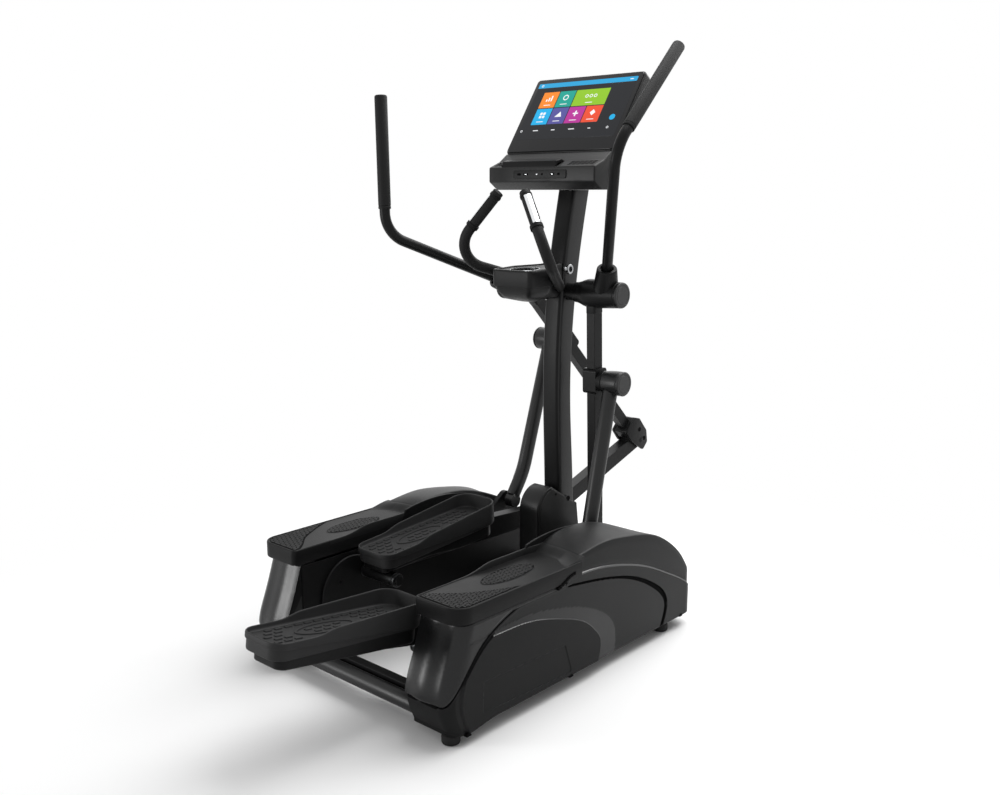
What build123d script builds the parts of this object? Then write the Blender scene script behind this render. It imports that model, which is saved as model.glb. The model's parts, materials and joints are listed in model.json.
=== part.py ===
"""Elliptical cross trainer: two pedals on swinging levers, side step decks, a mast and a console.

Frame: +X to the user's right, +Y the way the user faces, +Z up, floor at Z = 0.
The right side stands at the rear end of its stride and the left side at the front end.
Every right-hand piece is built once in the frame of what carries it; the left one is its mirror.
"""

import os
from math import atan2, cos, degrees, hypot, radians, sin, tan

from build123d import *

# The middle of the machine's length, which becomes the origin
MIDDLE_Y = -16.9

# Fits, gaps and walls
RUNNING_FIT = 0.05
SIDE_GAP = 0.5
CUT_PAST = 1.0
TUBE_WALL = 2.5
BASE_WALL = 4.0

# Stride mechanism: the levers hang from one axle and carry the pedal arms at their feet
AXLE_Y = 284.0
AXLE_Z = 1017.0
AXLE_RADIUS = 15.0
LEVER_X = 128.0
LEVER_LENGTH = 833.0
LEVER_WIDTH = 30.0
LEVER_DEPTH = 38.0
MID_PIVOT_DROP = 262.0
REAR_SWING = 2.0
FRONT_SWING = 45.35
REAR_PEDAL_TILT = -7.0
FRONT_PEDAL_TILT = 4.5

# Lever hub, handle and pivots
HUB_RADIUS = 33.0
HUB_NECK_RADIUS = 24.0
HUB_SHOULDER = 38.0
HUB_INNER_X = 62.0
HUB_OUTER_X = 222.0
SOCKET_WALL = 6.0
SOCKET_DEPTH = 28.0
CAP_THICKNESS = 6.0
CAP_CHAMFER = 2.5
HANDLE_X = 168.0
HANDLE_START = 42.0
HANDLE_BEND = Vector(327, -166, 416)
HANDLE_TOP = Vector(338, 112, 688)
HANDLE_BEND_RADIUS = 90.0
HANDLE_RADIUS = 15.5
GRIP_WALL = 3.0
GRIP_START = 72.0
GRIP_END = 5.0
BOSS_WALL = 8.5
BOSS_LENGTH = 92.0
STUB_RADIUS = 14.0
STUB_OUTER_X = 232.0
CLAMP_WALL = 9.0
CLAMP_HEIGHT = 76.0
CLAMP_CORNER = 10.0
PIN_RADIUS = 12.0
PIN_HEAD = 5.0
KNUCKLE_WIDTH = 74.0
KNUCKLE_CORNER = 30.0
KNUCKLE_CHEEK = 12.0
KNUCKLE_PLAY = 2.0
KNUCKLE_BELOW = 38.0
KNUCKLE_ABOVE = 56.0
KNUCKLE_SOCKET = 40.0

# Drive rods and front cranks
ROD_LENGTH = 547.0
ROD_RADIUS = 19.0
ROD_X = 191.0
ROD_EYE_RADIUS = 31.0
ROD_EYE_X = (172.0, 231.5)
ROD_BLOCK_X = (172.0, 203.0)
ROD_BLOCK_HALF = 30.0
ROD_BEND_RADIUS = 260.0
ROD_BEND_ANGLES = (2.8, 12.0)
REAR_ROD_LEAN = 15.85
FRONT_ROD_LEAN = 20.56
CRANK_PIN_GAP = 0.8
CRANK_WEB_X = (215.0, 233.0)
CRANK_HUB_RADIUS = 34.0
CRANK_EYE_RADIUS = 25.0
CRANK_AXLE_RADIUS = 20.0
CRANK_AXLE_END = 292.0
BEARING_WALL = 12.0
BEARING_LENGTH = 34.0

# Rear cranks, with the rollers that carry the pedal arms
REAR_CRANK_Y = -373.0
REAR_CRANK_Z = 184.0
REAR_CRANK_THROW = 72.0
REAR_CRANK_START = 228.0
REAR_DISC_RADIUS = 106.0
REAR_DISC_X = (228.0, 235.0)
DISC_CHAMFER = 2.5
DISC_HOLE_RADIUS = 6.0
DISC_HOLE_AT = 58.0
DISC_HOLE_TURN = 90.0
ROLLER_RADIUS = 20.0
ROLLER_PIN_RADIUS = 9.0
ROLLER_X = (84.0, 224.0)

# Pedal arms and pedals, in the arm's frame: its pivot is the origin and the tread is level
ARM_WIDTH = 40.0
ARM_HEIGHT = 52.0
ARM_WALL = 4.0
ARM_SLOPE = 14.0
ARM_BEND_Y = -480.0
ARM_END_Y = -1222.0
ARM_END_BOTTOM = -72.0
PEDAL_X = 132.0
PEDAL_REAR_Y = -1268.0
PEDAL_LENGTH = 462.0
PEDAL_WIDTH = 150.0
PEDAL_HEEL_WIDTH = 144.0
PEDAL_HEEL_CORNER = 38.0
PEDAL_TOE_CORNER = 48.0
PEDAL_BOTTOM = -46.0
PEDAL_FLOOR = -20.0
PEDAL_RIM = -3.0
PEDAL_SHOULDER = 9.0
PEDAL_HOOD = 22.0
PEDAL_WALL = 5.0
RIM_RISE_RUN = 70.0
HOOD_RUN = 250.0
HOOD_FLAT = 30.0
PAD_INSET = 6.0
PAD_THICKNESS = 3.0
BASE_INSET = 12.0
BASE_TOE_DROP = 38.0
BASE_HEEL_DROP = 22.0

# Side housings
HOUSING_INNER_X = 237.0
HOUSING_OUTER_X = 396.0
HOUSING_FRONT_Y = 478.0
HOUSING_BOTTOM = 38.0
HOUSING_CORNER = 48.0
SKIN = 8.0
SHELL = 4.0
PANEL = 6.0
DECK_REAR_Y = -570.0
DECK_FRONT_Y = -165.0
DECK_TOP = 350.0
DECK_BAND = 50.0
DECK_EDGE = 3.0
DECK_WALL = 14.0
DECK_FLOOR = 8.0
REAR_PROFILE = [(-585, HOUSING_BOTTOM), (-607, 104), (-582, 200), (-548, DECK_TOP - DECK_BAND)]
PILLAR_INSET = 2.0
HUMP_TOP = [(-150, 374), (-27, 387), (80, 377), (223, 331), (353, 266), (430, 205)]
HUMP_NOSE_Z = 120.0
RIDGE = [(HOUSING_FRONT_Y, 112), (427, 146), (249, 236), (68, 298), (-139, 318)]
SEAM = [(-355, 296), (-486, 234), (-578, 140), (-620, 106)]
GROOVE = [(-150, 294), (69, 257), (251, 181), (319, 105), (296, 34)]
GROOVE_WIDTH = 7.0
GROOVE_DEPTH = 4.0
WAVES = [
    [(-407, 257), (-261, 237), (-110, 189), (-19, 108), (-35, 49)],
    [(-277, 247), (-111, 224), (36, 143), (57, 65)],
]
WAVE_WIDTH = 5.0
WAVE_DEPTH = 1.2
RECESS = [(-490, 72), (-140, 50), (-170, 138), (-486, 148)]
RECESS_CORNER = 6.0
RECESS_DEPTH = 1.5

# Base frame and feet; what stands under the housings keeps its distance from their outer sides
REAR_TUBE_Y = -556.0
REAR_TUBE_Z = 58.0
REAR_TUBE_RADIUS = 22.0
REAR_TUBE_SETBACK = 36.0
RAIL_SETBACK = (80.0, 24.0)
RAIL_Z = (46.0, 98.0)
BEAM_Y = (255.0, 385.0)
BEAM_Z = (30.0, 104.0)
BEAM_CORNER = 5.0
BEAM_SETBACK = 24.0
FOOT_SETBACK = 46.0
FRONT_FOOT_Y = 350.0
FOOT_RADIUS = 25.0
FOOT_HEIGHT = 26.0
FOOT_EDGE = 4.0
STUD_RADIUS = 8.0

# Mast and its cover
MAST_HALF_WIDTH = 33.0
MAST_TOP = 1318.0
MAST_WALL = 4.0
MAST_REAR = [(252, BEAM_Z[1]), (245, 460), (237, 670), (242, 930), (268, 1140), (304, MAST_TOP)]
MAST_FRONT = [(322, BEAM_Z[1]), (315, 460), (301, 670), (310, 930), (340, 1140), (378, MAST_TOP)]
COVER_HALF_WIDTH = 60.0
COVER_REAR_Y = 138.0
COVER_FRONT_Y = 345.0
COVER_TOP = 404.0
COVER_TOP_CORNER = 70.0
COVER_EDGE = 18.0
COLLAR_RADIUS = 26.0

# Console and screen; heights are above the top of the mast
CONSOLE_HALF_WIDTH = 200.0
CONSOLE_FRONT_Y = 180.0
CONSOLE_FACE_RISE = (23.0, 66.0)
CONSOLE_BREAK = (226.0, 84.0)
CONSOLE_UNDER_Y = (214.0, 270.0)
NECK_HALF_WIDTH = 60.0
NECK_Y = (262.0, 396.0)
NECK_RISE = 90.0
SCREEN_FOOT = (260.0, 114.0)
SCREEN_LEAN = 34.3
SCREEN_SIZE = (400.0, 270.0)
SCREEN_BODY = 30.0
SCREEN_MARGIN = 5.0
SCREEN_CORNER = 10.0
WEDGE_HEIGHT = 110.0
GLASS = 3.0
LEDGE_X = (-150.0, 60.0)
LEDGE_RISE = 16.0
LEDGE_SET = 6.0
STRIP_HALF_WIDTH = 100.0
STRIP_MARGIN = 9.0
STRIP_THICKNESS = 3.0
STRIP_CORNER = 6.0
SOCKET_SPOTS = (-72.0, -48.0, 48.0, 72.0)
SOCKET_SIZE = (13.0, 6.0)

# Cup holder and fixed handles
CUP_Z = (1000.0, 1095.0)
CUP_RADIUS = 41.0
CUP_Y = 118.0
CUP_FLOOR = 12.0
CUP_FOOT = [(52, 84), (52, 150), (28, 222), (28, 262)]
CUP_HEAD = [(76, 54), (76, 150), (30, 226), (30, 262)]
FIXED_TOP = Vector(49, 58, 1312)
FIXED_BEND = Vector(192, -6, 1124)
FIXED_END = Vector(3, 280, 1022)
FIXED_RADIUS = 16.0
FIXED_BEND_RADIUS = 78.0
SENSOR_RUN = (24.0, 116.0)
SENSOR_WALL = 1.5


def bar(x0, x1, y, z, radius):
    """A round bar along X."""
    return Pos((x0 + x1) / 2, y, z) * Rot(Y=90) * Cylinder(radius, x1 - x0)


def block(xs, ys, zs):
    """A box between three pairs of limits."""
    size = Box(xs[1] - xs[0], ys[1] - ys[0], zs[1] - zs[0])
    return Pos(sum(xs) / 2, sum(ys) / 2, sum(zs) / 2) * size


def side_cut(face, x0, x1):
    """A face drawn in Y and Z, extruded along X."""
    return Pos(x0, 0, 0) * extrude(Plane.YZ * face, x1 - x0)


def polygon(points):
    """A closed face with straight sides."""
    return make_face(Polyline(*points, close=True))


def rectangle(us, vs):
    """A rectangular face between two pairs of limits."""
    return polygon([(us[0], vs[0]), (us[1], vs[0]), (us[1], vs[1]), (us[0], vs[1])])


def along(start, direction, near, far, radius):
    """A round bar on a slanted axis, between two distances from its start."""
    plane = Plane(origin=start + direction * near, z_dir=direction)
    return extrude(plane * Circle(radius), far - near)


def bent_bar(start, corner, end, bend, radius):
    """A round bar of two straight runs joined by a turned elbow."""
    first = (corner - start).normalized()
    second = (end - corner).normalized()
    turn = first.get_angle(second)
    setback = bend * tan(radians(turn / 2))
    normal = first.cross(second).normalized()
    elbow_start = corner - first * setback
    elbow_end = corner + second * setback
    section = Plane(origin=elbow_start, x_dir=normal, z_dir=first) * Circle(radius)
    hinge = Axis(elbow_start + normal.cross(first) * bend, normal)
    runs = along(start, first, 0, (elbow_start - start).length, radius)
    runs += revolve(section, axis=hinge, revolution_arc=turn)
    return runs + along(elbow_end, second, 0, (end - elbow_end).length, radius)


def swing(angle):
    """The place of a lever that swings by an angle about the upper axle."""
    return Pos(0, AXLE_Y, AXLE_Z) * Rot(X=angle)


def lever_point(angle, drop):
    """Y and Z of a point on a lever, a distance below the upper axle."""
    return AXLE_Y + drop * sin(radians(angle)), AXLE_Z - drop * cos(radians(angle))


def arm_place(angle, tilt):
    """The place of a pedal arm at one end of the stride."""
    return Pos(0, *lever_point(angle, LEVER_LENGTH)) * Rot(X=tilt)


def rod_place(angle, lean):
    """The place of a drive rod at one end of the stride."""
    return Pos(0, *lever_point(angle, MID_PIVOT_DROP)) * Rot(X=-lean)


def rod_foot(angle, lean):
    """Y and Z of the drive rod's lower pivot."""
    y, z = lever_point(angle, MID_PIVOT_DROP)
    return y - ROD_LENGTH * sin(radians(lean)), z - ROD_LENGTH * cos(radians(lean))


# The front crank turns half a turn between the two ends of the stride
REAR_PIN = rod_foot(REAR_SWING, REAR_ROD_LEAN)
FRONT_PIN = rod_foot(FRONT_SWING, FRONT_ROD_LEAN)
CRANK_Y = (REAR_PIN[0] + FRONT_PIN[0]) / 2
CRANK_Z = (REAR_PIN[1] + FRONT_PIN[1]) / 2
CRANK_THROW = hypot(FRONT_PIN[0] - REAR_PIN[0], FRONT_PIN[1] - REAR_PIN[1]) / 2
CRANK_START = degrees(atan2(REAR_PIN[1] - CRANK_Z, REAR_PIN[0] - CRANK_Y))

# Places that follow from the sizes above
SOCKET_TOP = -(HUB_RADIUS + 3)
SOCKET_BOTTOM = SOCKET_TOP - SOCKET_DEPTH
FORK_GAP_TOP = -LEVER_LENGTH + KNUCKLE_ABOVE
LEVER_FOOT = FORK_GAP_TOP + 10
FORK_TOP = FORK_GAP_TOP + KNUCKLE_SOCKET
FORK_INNER_X = LEVER_X - ARM_WIDTH / 2 - KNUCKLE_PLAY - KNUCKLE_CHEEK
FORK_OUTER_X = LEVER_X + ARM_WIDTH / 2 + KNUCKLE_PLAY + KNUCKLE_CHEEK
HANDLE_FOOT = Vector(HANDLE_X, 0, 0)
HANDLE_AXIS = (HANDLE_BEND - HANDLE_FOOT).normalized()
GRIP_AXIS = (HANDLE_TOP - HANDLE_BEND).normalized()
PEDAL_TOE_Y = PEDAL_REAR_Y + PEDAL_LENGTH
PEDAL_SIDES = (PEDAL_X - PEDAL_WIDTH, PEDAL_X + PEDAL_WIDTH)
RAIL_X = tuple(HOUSING_OUTER_X - setback for setback in RAIL_SETBACK)
FOOT_X = HOUSING_OUTER_X - FOOT_SETBACK
REAR_TUBE_END = HOUSING_OUTER_X - REAR_TUBE_SETBACK
BEAM_END = HOUSING_OUTER_X - BEAM_SETBACK
CRANK_AXLES = ((CRANK_Y, CRANK_Z), (REAR_CRANK_Y, REAR_CRANK_Z))

nodes = {}


def paired(name, solid, right=Pos(0, 0, 0), left=Pos(0, 0, 0)):
    """Keeps a right-hand piece and its mirrored left-hand twin, each at its own place."""
    nodes[name + "_right"] = right * solid
    nodes[name + "_left"] = mirror(left * solid, about=Plane.YZ)


def both_sides(solid):
    """A right-hand solid and its mirror, kept as one piece."""
    return Compound([solid, mirror(solid, about=Plane.YZ)])


# Lever pieces, in the lever's frame: the axle is the origin and the lever hangs down

def lever_run(bottom, top, inset=0.0):
    """A length of the lever's outline, or of the room inside its wall."""
    outline = Rectangle(LEVER_WIDTH - 2 * inset, LEVER_DEPTH - 2 * inset)
    return extrude(Pos(LEVER_X, 0, bottom) * outline, top - bottom)


def lever_tube():
    """The rectangular tube from the hub's socket down to the knuckle."""
    return lever_run(LEVER_FOOT, SOCKET_TOP) - lever_run(LEVER_FOOT, SOCKET_TOP, TUBE_WALL)


def lever_hub():
    """The hub sleeve on the upper axle, with the lever's socket and the handle's boss."""
    outline = polygon([
        (HUB_INNER_X, 0), (HUB_INNER_X, HUB_NECK_RADIUS), (HUB_INNER_X + HUB_SHOULDER, HUB_RADIUS),
        (HUB_OUTER_X, HUB_RADIUS), (HUB_OUTER_X, 0),
    ])
    hub = revolve(outline, axis=Axis.X)
    socket = lever_run(SOCKET_BOTTOM, 0, -SOCKET_WALL)
    hub += chamfer(socket.edges().filter_by(Axis.Z), SOCKET_WALL)
    hub += along(HANDLE_FOOT, HANDLE_AXIS, 0, BOSS_LENGTH, HANDLE_RADIUS + BOSS_WALL)
    hub -= bar(HUB_INNER_X - CUT_PAST, HUB_OUTER_X + CUT_PAST, 0, 0, AXLE_RADIUS + RUNNING_FIT)
    hub -= lever_run(SOCKET_BOTTOM, SOCKET_TOP)
    return hub - along(HANDLE_FOOT, HANDLE_AXIS, HANDLE_START, BOSS_LENGTH + CUT_PAST, HANDLE_RADIUS)


def handlebar():
    """The moving handle, closed at both ends: it leans back and out, then bends forward and up."""
    foot = HANDLE_FOOT + HANDLE_AXIS * HANDLE_START
    return bent_bar(foot, HANDLE_BEND, HANDLE_TOP, HANDLE_BEND_RADIUS, HANDLE_RADIUS)


def hand_grip():
    """The closed sleeve over the upper run of the handle."""
    start = HANDLE_BEND + GRIP_AXIS * GRIP_START
    reach = (HANDLE_TOP - start).length
    grip = along(start, GRIP_AXIS, 0, reach + GRIP_END, HANDLE_RADIUS + GRIP_WALL)
    grip = chamfer(grip.edges().sort_by(Axis.Z)[-1], GRIP_WALL)
    return grip - along(start, GRIP_AXIS, -CUT_PAST, reach, HANDLE_RADIUS)


def pivot_caps():
    """The round caps that close the hub and the middle pivot."""
    caps = []
    for x, z, radius in ((HUB_OUTER_X, 0, HUB_RADIUS), (STUB_OUTER_X, -MID_PIVOT_DROP, ROD_EYE_RADIUS)):
        cap = bar(x, x + CAP_THICKNESS, 0, z, radius)
        caps.append(chamfer(cap.edges().sort_by(Axis.X)[-1], CAP_CHAMFER))
    return Compound(caps)


def mid_clamp():
    """The clamp round the lever, with the stub shaft that carries the drive rod."""
    half = CLAMP_HEIGHT / 2
    clamp = lever_run(-MID_PIVOT_DROP - half, -MID_PIVOT_DROP + half, -CLAMP_WALL)
    clamp = fillet(clamp.edges().filter_by(Axis.X), CLAMP_CORNER)
    clamp -= lever_run(-MID_PIVOT_DROP - half - CUT_PAST, -MID_PIVOT_DROP + half + CUT_PAST)
    outer_x = LEVER_X + LEVER_WIDTH / 2 + CLAMP_WALL
    clamp += bar(outer_x, ROD_EYE_X[0] - SIDE_GAP, 0, -MID_PIVOT_DROP, STUB_RADIUS + CLAMP_WALL)
    return clamp + bar(outer_x, STUB_OUTER_X, 0, -MID_PIVOT_DROP, STUB_RADIUS)


def knuckle():
    """The fork at the lever's foot: two cheeks on a block that holds the tube."""
    half = KNUCKLE_WIDTH / 2
    bottom = -LEVER_LENGTH - KNUCKLE_BELOW
    cheek = rectangle((-half, half), (bottom, FORK_TOP))
    fork = side_cut(fillet(cheek.vertices(), KNUCKLE_CORNER), FORK_INNER_X, FORK_OUTER_X)
    slot = (FORK_INNER_X + KNUCKLE_CHEEK, FORK_OUTER_X - KNUCKLE_CHEEK)
    fork -= block(slot, (-KNUCKLE_WIDTH, KNUCKLE_WIDTH), (bottom - CUT_PAST, FORK_GAP_TOP))
    fork -= lever_run(LEVER_FOOT, FORK_TOP + CUT_PAST)
    return fork - bar(FORK_INNER_X - CUT_PAST, FORK_OUTER_X + CUT_PAST, 0, -LEVER_LENGTH, PIN_RADIUS)


def knuckle_pin():
    """The hinge pin through the fork, with its two heads."""
    pin = bar(FORK_INNER_X, FORK_OUTER_X, 0, -LEVER_LENGTH, PIN_RADIUS)
    for x in (FORK_INNER_X - PIN_HEAD, FORK_OUTER_X):
        pin += bar(x, x + PIN_HEAD, 0, -LEVER_LENGTH, 1.5 * PIN_RADIUS)
    return pin


# Drive rod, in the rod's frame: the upper pivot is the origin and the lower one is below it

def drive_rod():
    """The round rod from the lever's middle pivot, bowed into its lower bearing block."""
    upper, lower = (radians(angle) for angle in ROD_BEND_ANGLES)
    upper_run = ROD_LENGTH * sin(lower) / sin(upper + lower)
    corner = Vector(ROD_X, upper_run * sin(upper), -upper_run * cos(upper))
    rod = bent_bar(Vector(ROD_X, 0, 0), corner, Vector(ROD_X, 0, -ROD_LENGTH), ROD_BEND_RADIUS, ROD_RADIUS)
    rod += bar(*ROD_EYE_X, 0, 0, ROD_EYE_RADIUS)
    half = ROD_BLOCK_HALF
    rod -= block((ROD_BLOCK_X[1], ROD_EYE_X[1]), (-2 * half, 2 * half),
                 (-ROD_LENGTH - 2 * half, -ROD_LENGTH + 2 * half))
    foot = block(ROD_BLOCK_X, (-half, half), (-ROD_LENGTH - half, -ROD_LENGTH + half))
    rod += chamfer(foot.edges().filter_by(Axis.X), half / 3)
    rod -= bar(ROD_EYE_X[0] - CUT_PAST, ROD_EYE_X[1] + CUT_PAST, 0, 0, STUB_RADIUS + RUNNING_FIT)
    return rod - bar(ROD_BLOCK_X[0] + BASE_WALL, ROD_BLOCK_X[1] + CUT_PAST, 0, -ROD_LENGTH, STUB_RADIUS)


# Cranks, in the crank's frame: the axle is the origin and the pin lies along +Y

def front_crank():
    """The crank arm on the housing's inner wall, with its axle and its pin."""
    web = Circle(CRANK_HUB_RADIUS) + Pos(CRANK_THROW, 0) * Circle(CRANK_EYE_RADIUS)
    web += Pos(CRANK_THROW / 2, 0) * Rectangle(CRANK_THROW, 2 * CRANK_EYE_RADIUS)
    crank = side_cut(web, *CRANK_WEB_X)
    crank += bar(CRANK_WEB_X[1], CRANK_AXLE_END, 0, 0, CRANK_AXLE_RADIUS)
    return crank + bar(ROD_BLOCK_X[1] + CRANK_PIN_GAP, CRANK_WEB_X[0], CRANK_THROW, 0, STUB_RADIUS - CUT_PAST)


def rear_crank():
    """The round crank disc with its axle and the long pin that carries the roller."""
    disc = bar(*REAR_DISC_X, 0, 0, REAR_DISC_RADIUS)
    crank = chamfer(disc.edges().sort_by(Axis.X)[0], DISC_CHAMFER)
    hole = bar(REAR_DISC_X[0] - CUT_PAST, sum(REAR_DISC_X) / 2, DISC_HOLE_AT, 0, DISC_HOLE_RADIUS)
    crank -= Rot(X=DISC_HOLE_TURN) * hole
    crank += bar(REAR_DISC_X[1], CRANK_AXLE_END, 0, 0, CRANK_AXLE_RADIUS)
    crank += bar(ROLLER_X[0] - SIDE_GAP, REAR_DISC_X[0], REAR_CRANK_THROW, 0, ROLLER_PIN_RADIUS)
    head = (ROLLER_X[0] - SIDE_GAP - PIN_HEAD, ROLLER_X[0] - SIDE_GAP)
    return crank + bar(*head, REAR_CRANK_THROW, 0, 1.5 * ROLLER_PIN_RADIUS)


def roller():
    """The roller sleeve that runs under the pedal arm."""
    sleeve = bar(*ROLLER_X, REAR_CRANK_THROW, 0, ROLLER_RADIUS)
    bore = ROLLER_PIN_RADIUS + RUNNING_FIT
    return sleeve - bar(ROLLER_X[0] - CUT_PAST, ROLLER_X[1] + CUT_PAST, REAR_CRANK_THROW, 0, bore)


# Pedal arm and pedal

def arm_outline(inset, end_y):
    """The arm's side outline: a sloped front run and a tapered beam under the pedal."""
    slope = tan(radians(ARM_SLOPE))
    half = ARM_HEIGHT / 2 - inset
    bend_z = ARM_BEND_Y * slope
    top = PEDAL_BOTTOM - inset
    start_y = -6 * inset
    return polygon([
        (start_y, start_y * slope + half), (start_y, start_y * slope - half), (ARM_BEND_Y, bend_z - half),
        (end_y, ARM_END_BOTTOM + inset), (end_y, top), (PEDAL_TOE_Y, top), (ARM_BEND_Y, bend_z + half),
    ])


def pedal_arm():
    """The hollow arm from the knuckle to the pedal's heel, with its bearing eye."""
    xs = (LEVER_X - ARM_WIDTH / 2, LEVER_X + ARM_WIDTH / 2)
    arm = side_cut(arm_outline(0, ARM_END_Y), *xs)
    arm -= side_cut(arm_outline(ARM_WALL, ARM_END_Y - CUT_PAST), xs[0] + ARM_WALL, xs[1] - ARM_WALL)
    arm += bar(*xs, 0, 0, ARM_HEIGHT / 2 + 1)
    return arm - bar(xs[0] - CUT_PAST, xs[1] + CUT_PAST, 0, 0, PIN_RADIUS + RUNNING_FIT)


def pedal_outline(inset):
    """The pedal's plan: a straight toe and a slightly narrower heel, its corners rounded."""
    half_toe = PEDAL_WIDTH / 2 - inset
    half_heel = PEDAL_HEEL_WIDTH / 2 - inset
    rear_y = PEDAL_REAR_Y + inset
    front_y = PEDAL_TOE_Y - inset
    waist_y = PEDAL_TOE_Y - PEDAL_LENGTH / 2
    face = polygon([(-half_heel, rear_y), (half_heel, rear_y), (half_toe, waist_y), (half_toe, front_y),
                    (-half_toe, front_y), (-half_toe, waist_y)])
    face = fillet(face.vertices().group_by(Axis.Y)[0], PEDAL_HEEL_CORNER - inset)
    face = fillet(face.vertices().group_by(Axis.Y)[-1], PEDAL_TOE_CORNER - inset)
    return Pos(PEDAL_X, 0) * face


def above_rim():
    """What is cut away above the pedal's rim: low round the heel, a quick rise, then a ramp up to the hood."""
    far = PEDAL_HOOD + PEDAL_LENGTH
    front = PEDAL_TOE_Y + CUT_PAST
    crown = (PEDAL_TOE_Y - HOOD_FLAT, PEDAL_HOOD)
    shoulder = (crown[0] - HOOD_RUN, PEDAL_SHOULDER)
    dip = (shoulder[0] - RIM_RISE_RUN, PEDAL_RIM)
    rear = (PEDAL_REAR_Y - CUT_PAST, PEDAL_RIM)
    ramp = (HOOD_RUN, PEDAL_HOOD - PEDAL_SHOULDER)
    edge = Polyline(rear, dip) + Spline(dip, shoulder, tangents=[(1, 0), ramp])
    edge += Polyline(shoulder, crown, (front, PEDAL_HOOD), (front, far), (rear[0], far), rear)
    return side_cut(make_face(edge), *PEDAL_SIDES)


def pedal_tray():
    """The moulded tray: a floor with a low rim and a high toe hood."""
    height = PEDAL_HOOD + CUT_PAST - PEDAL_BOTTOM
    tray = extrude(Pos(0, 0, PEDAL_BOTTOM) * pedal_outline(0), height) - above_rim()
    return tray - extrude(Pos(0, 0, PEDAL_FLOOR) * pedal_outline(PEDAL_WALL), height)


def pedal_pad():
    """The tread pad that lies on the tray's floor."""
    return extrude(Pos(0, 0, PEDAL_FLOOR) * pedal_outline(PEDAL_WALL + PAD_INSET), PAD_THICKNESS)


def pedal_base():
    """The stepped base under the tray, open for the arm that it sits on."""
    bottom = PEDAL_BOTTOM - BASE_TOE_DROP
    base = extrude(Pos(0, 0, bottom) * pedal_outline(BASE_INSET), BASE_TOE_DROP)
    heel = (PEDAL_REAR_Y, PEDAL_BOTTOM - BASE_HEEL_DROP)
    under = polygon([heel, (PEDAL_TOE_Y, bottom), (PEDAL_REAR_Y, bottom)])
    base -= side_cut(under, *PEDAL_SIDES)
    half = ARM_WIDTH / 2 + SIDE_GAP
    slot = (LEVER_X - half, LEVER_X + half)
    return base - block(slot, (ARM_END_Y - SIDE_GAP, PEDAL_TOE_Y), (bottom, PEDAL_BOTTOM))


# Side housing, right hand

def front_shape(inset):
    """The housing's outer form in front of the deck, its front corner rounded."""
    outer = HOUSING_OUTER_X - inset
    front = HOUSING_FRONT_Y - inset
    face = rectangle((HOUSING_INNER_X, outer), (DECK_FRONT_Y, front))
    corner = face.vertices().group_by(Axis.Y)[-1].sort_by(Axis.X)[-1]
    return extrude(Pos(0, 0, HOUSING_BOTTOM) * fillet(corner, HOUSING_CORNER - inset), DECK_TOP)


def rear_shape(inset):
    """The housing's outer form under the deck: drawn in at the deck, full above the skirt."""
    outer = HOUSING_OUTER_X - inset
    sections = []
    for rear_y, z in REAR_PROFILE:
        face = rectangle((HOUSING_INNER_X, outer), (rear_y + inset, DECK_FRONT_Y))
        corner = face.vertices().group_by(Axis.Y)[0].sort_by(Axis.X)[-1]
        sections.append(Pos(0, 0, z) * fillet(corner, HOUSING_CORNER - inset))
    return loft(sections, ruled=True)


def hump_outline(drop):
    """The front hump's side outline, or one set in from its top by a drop."""
    crown = [(y, z - drop) for y, z in HUMP_TOP]
    rear_y = DECK_FRONT_Y + drop
    edge = Polyline((rear_y, HOUSING_BOTTOM), (rear_y, DECK_TOP - drop), crown[0])
    edge += Spline(*crown)
    edge += Polyline(crown[-1], (HOUSING_FRONT_Y, HUMP_NOSE_Z), (HOUSING_FRONT_Y, HOUSING_BOTTOM),
                     (rear_y, HOUSING_BOTTOM))
    return make_face(edge)


def panel_outline():
    """The outer side panel's outline: the ridge over the hump, the notch and the long seam."""
    rear_foot = (SEAM[-1][0], HOUSING_BOTTOM)
    edge = Polyline(rear_foot, (HOUSING_FRONT_Y, HOUSING_BOTTOM), RIDGE[0]) + Spline(*RIDGE)
    edge += Polyline(RIDGE[-1], (DECK_FRONT_Y, DECK_TOP - DECK_BAND - 2), SEAM[0]) + Spline(*SEAM)
    return make_face(edge + Line(SEAM[-1], rear_foot))


def plain_skin():
    """The outer skin of the housing before its surface is shaped."""
    skin = (front_shape(0) - front_shape(SKIN)) + (rear_shape(0) - rear_shape(SKIN))
    return skin & side_cut(panel_outline(), HOUSING_INNER_X + PANEL, HOUSING_OUTER_X + CUT_PAST)


def side_panel():
    """The outer skin, with its waves, the dark groove and a bare recess low at the rear."""
    recess = fillet(polygon(RECESS).vertices(), RECESS_CORNER)
    lines = [(GROOVE, GROOVE_WIDTH, GROOVE_DEPTH)] + [(wave, WAVE_WIDTH, WAVE_DEPTH) for wave in WAVES]
    cuts = [(recess, RECESS_DEPTH)] + [(trace(Spline(*line), width), depth) for line, width, depth in lines]
    skin = plain_skin()
    for face, depth in cuts:
        skin -= side_cut(face, HOUSING_OUTER_X - depth, HOUSING_OUTER_X + CUT_PAST)
    return skin


def hump():
    """The hollow front hump that hides the drive."""
    solid = front_shape(SKIN) & side_cut(hump_outline(0), HOUSING_INNER_X + PANEL, HOUSING_OUTER_X)
    room = front_shape(SKIN + SHELL) & side_cut(hump_outline(SHELL), HOUSING_INNER_X, HOUSING_OUTER_X)
    rail_slot = block(RAIL_X, (DECK_FRONT_Y - CUT_PAST, DECK_FRONT_Y + 2 * SHELL), (0, RAIL_Z[1]))
    return solid - room - rail_slot


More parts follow.
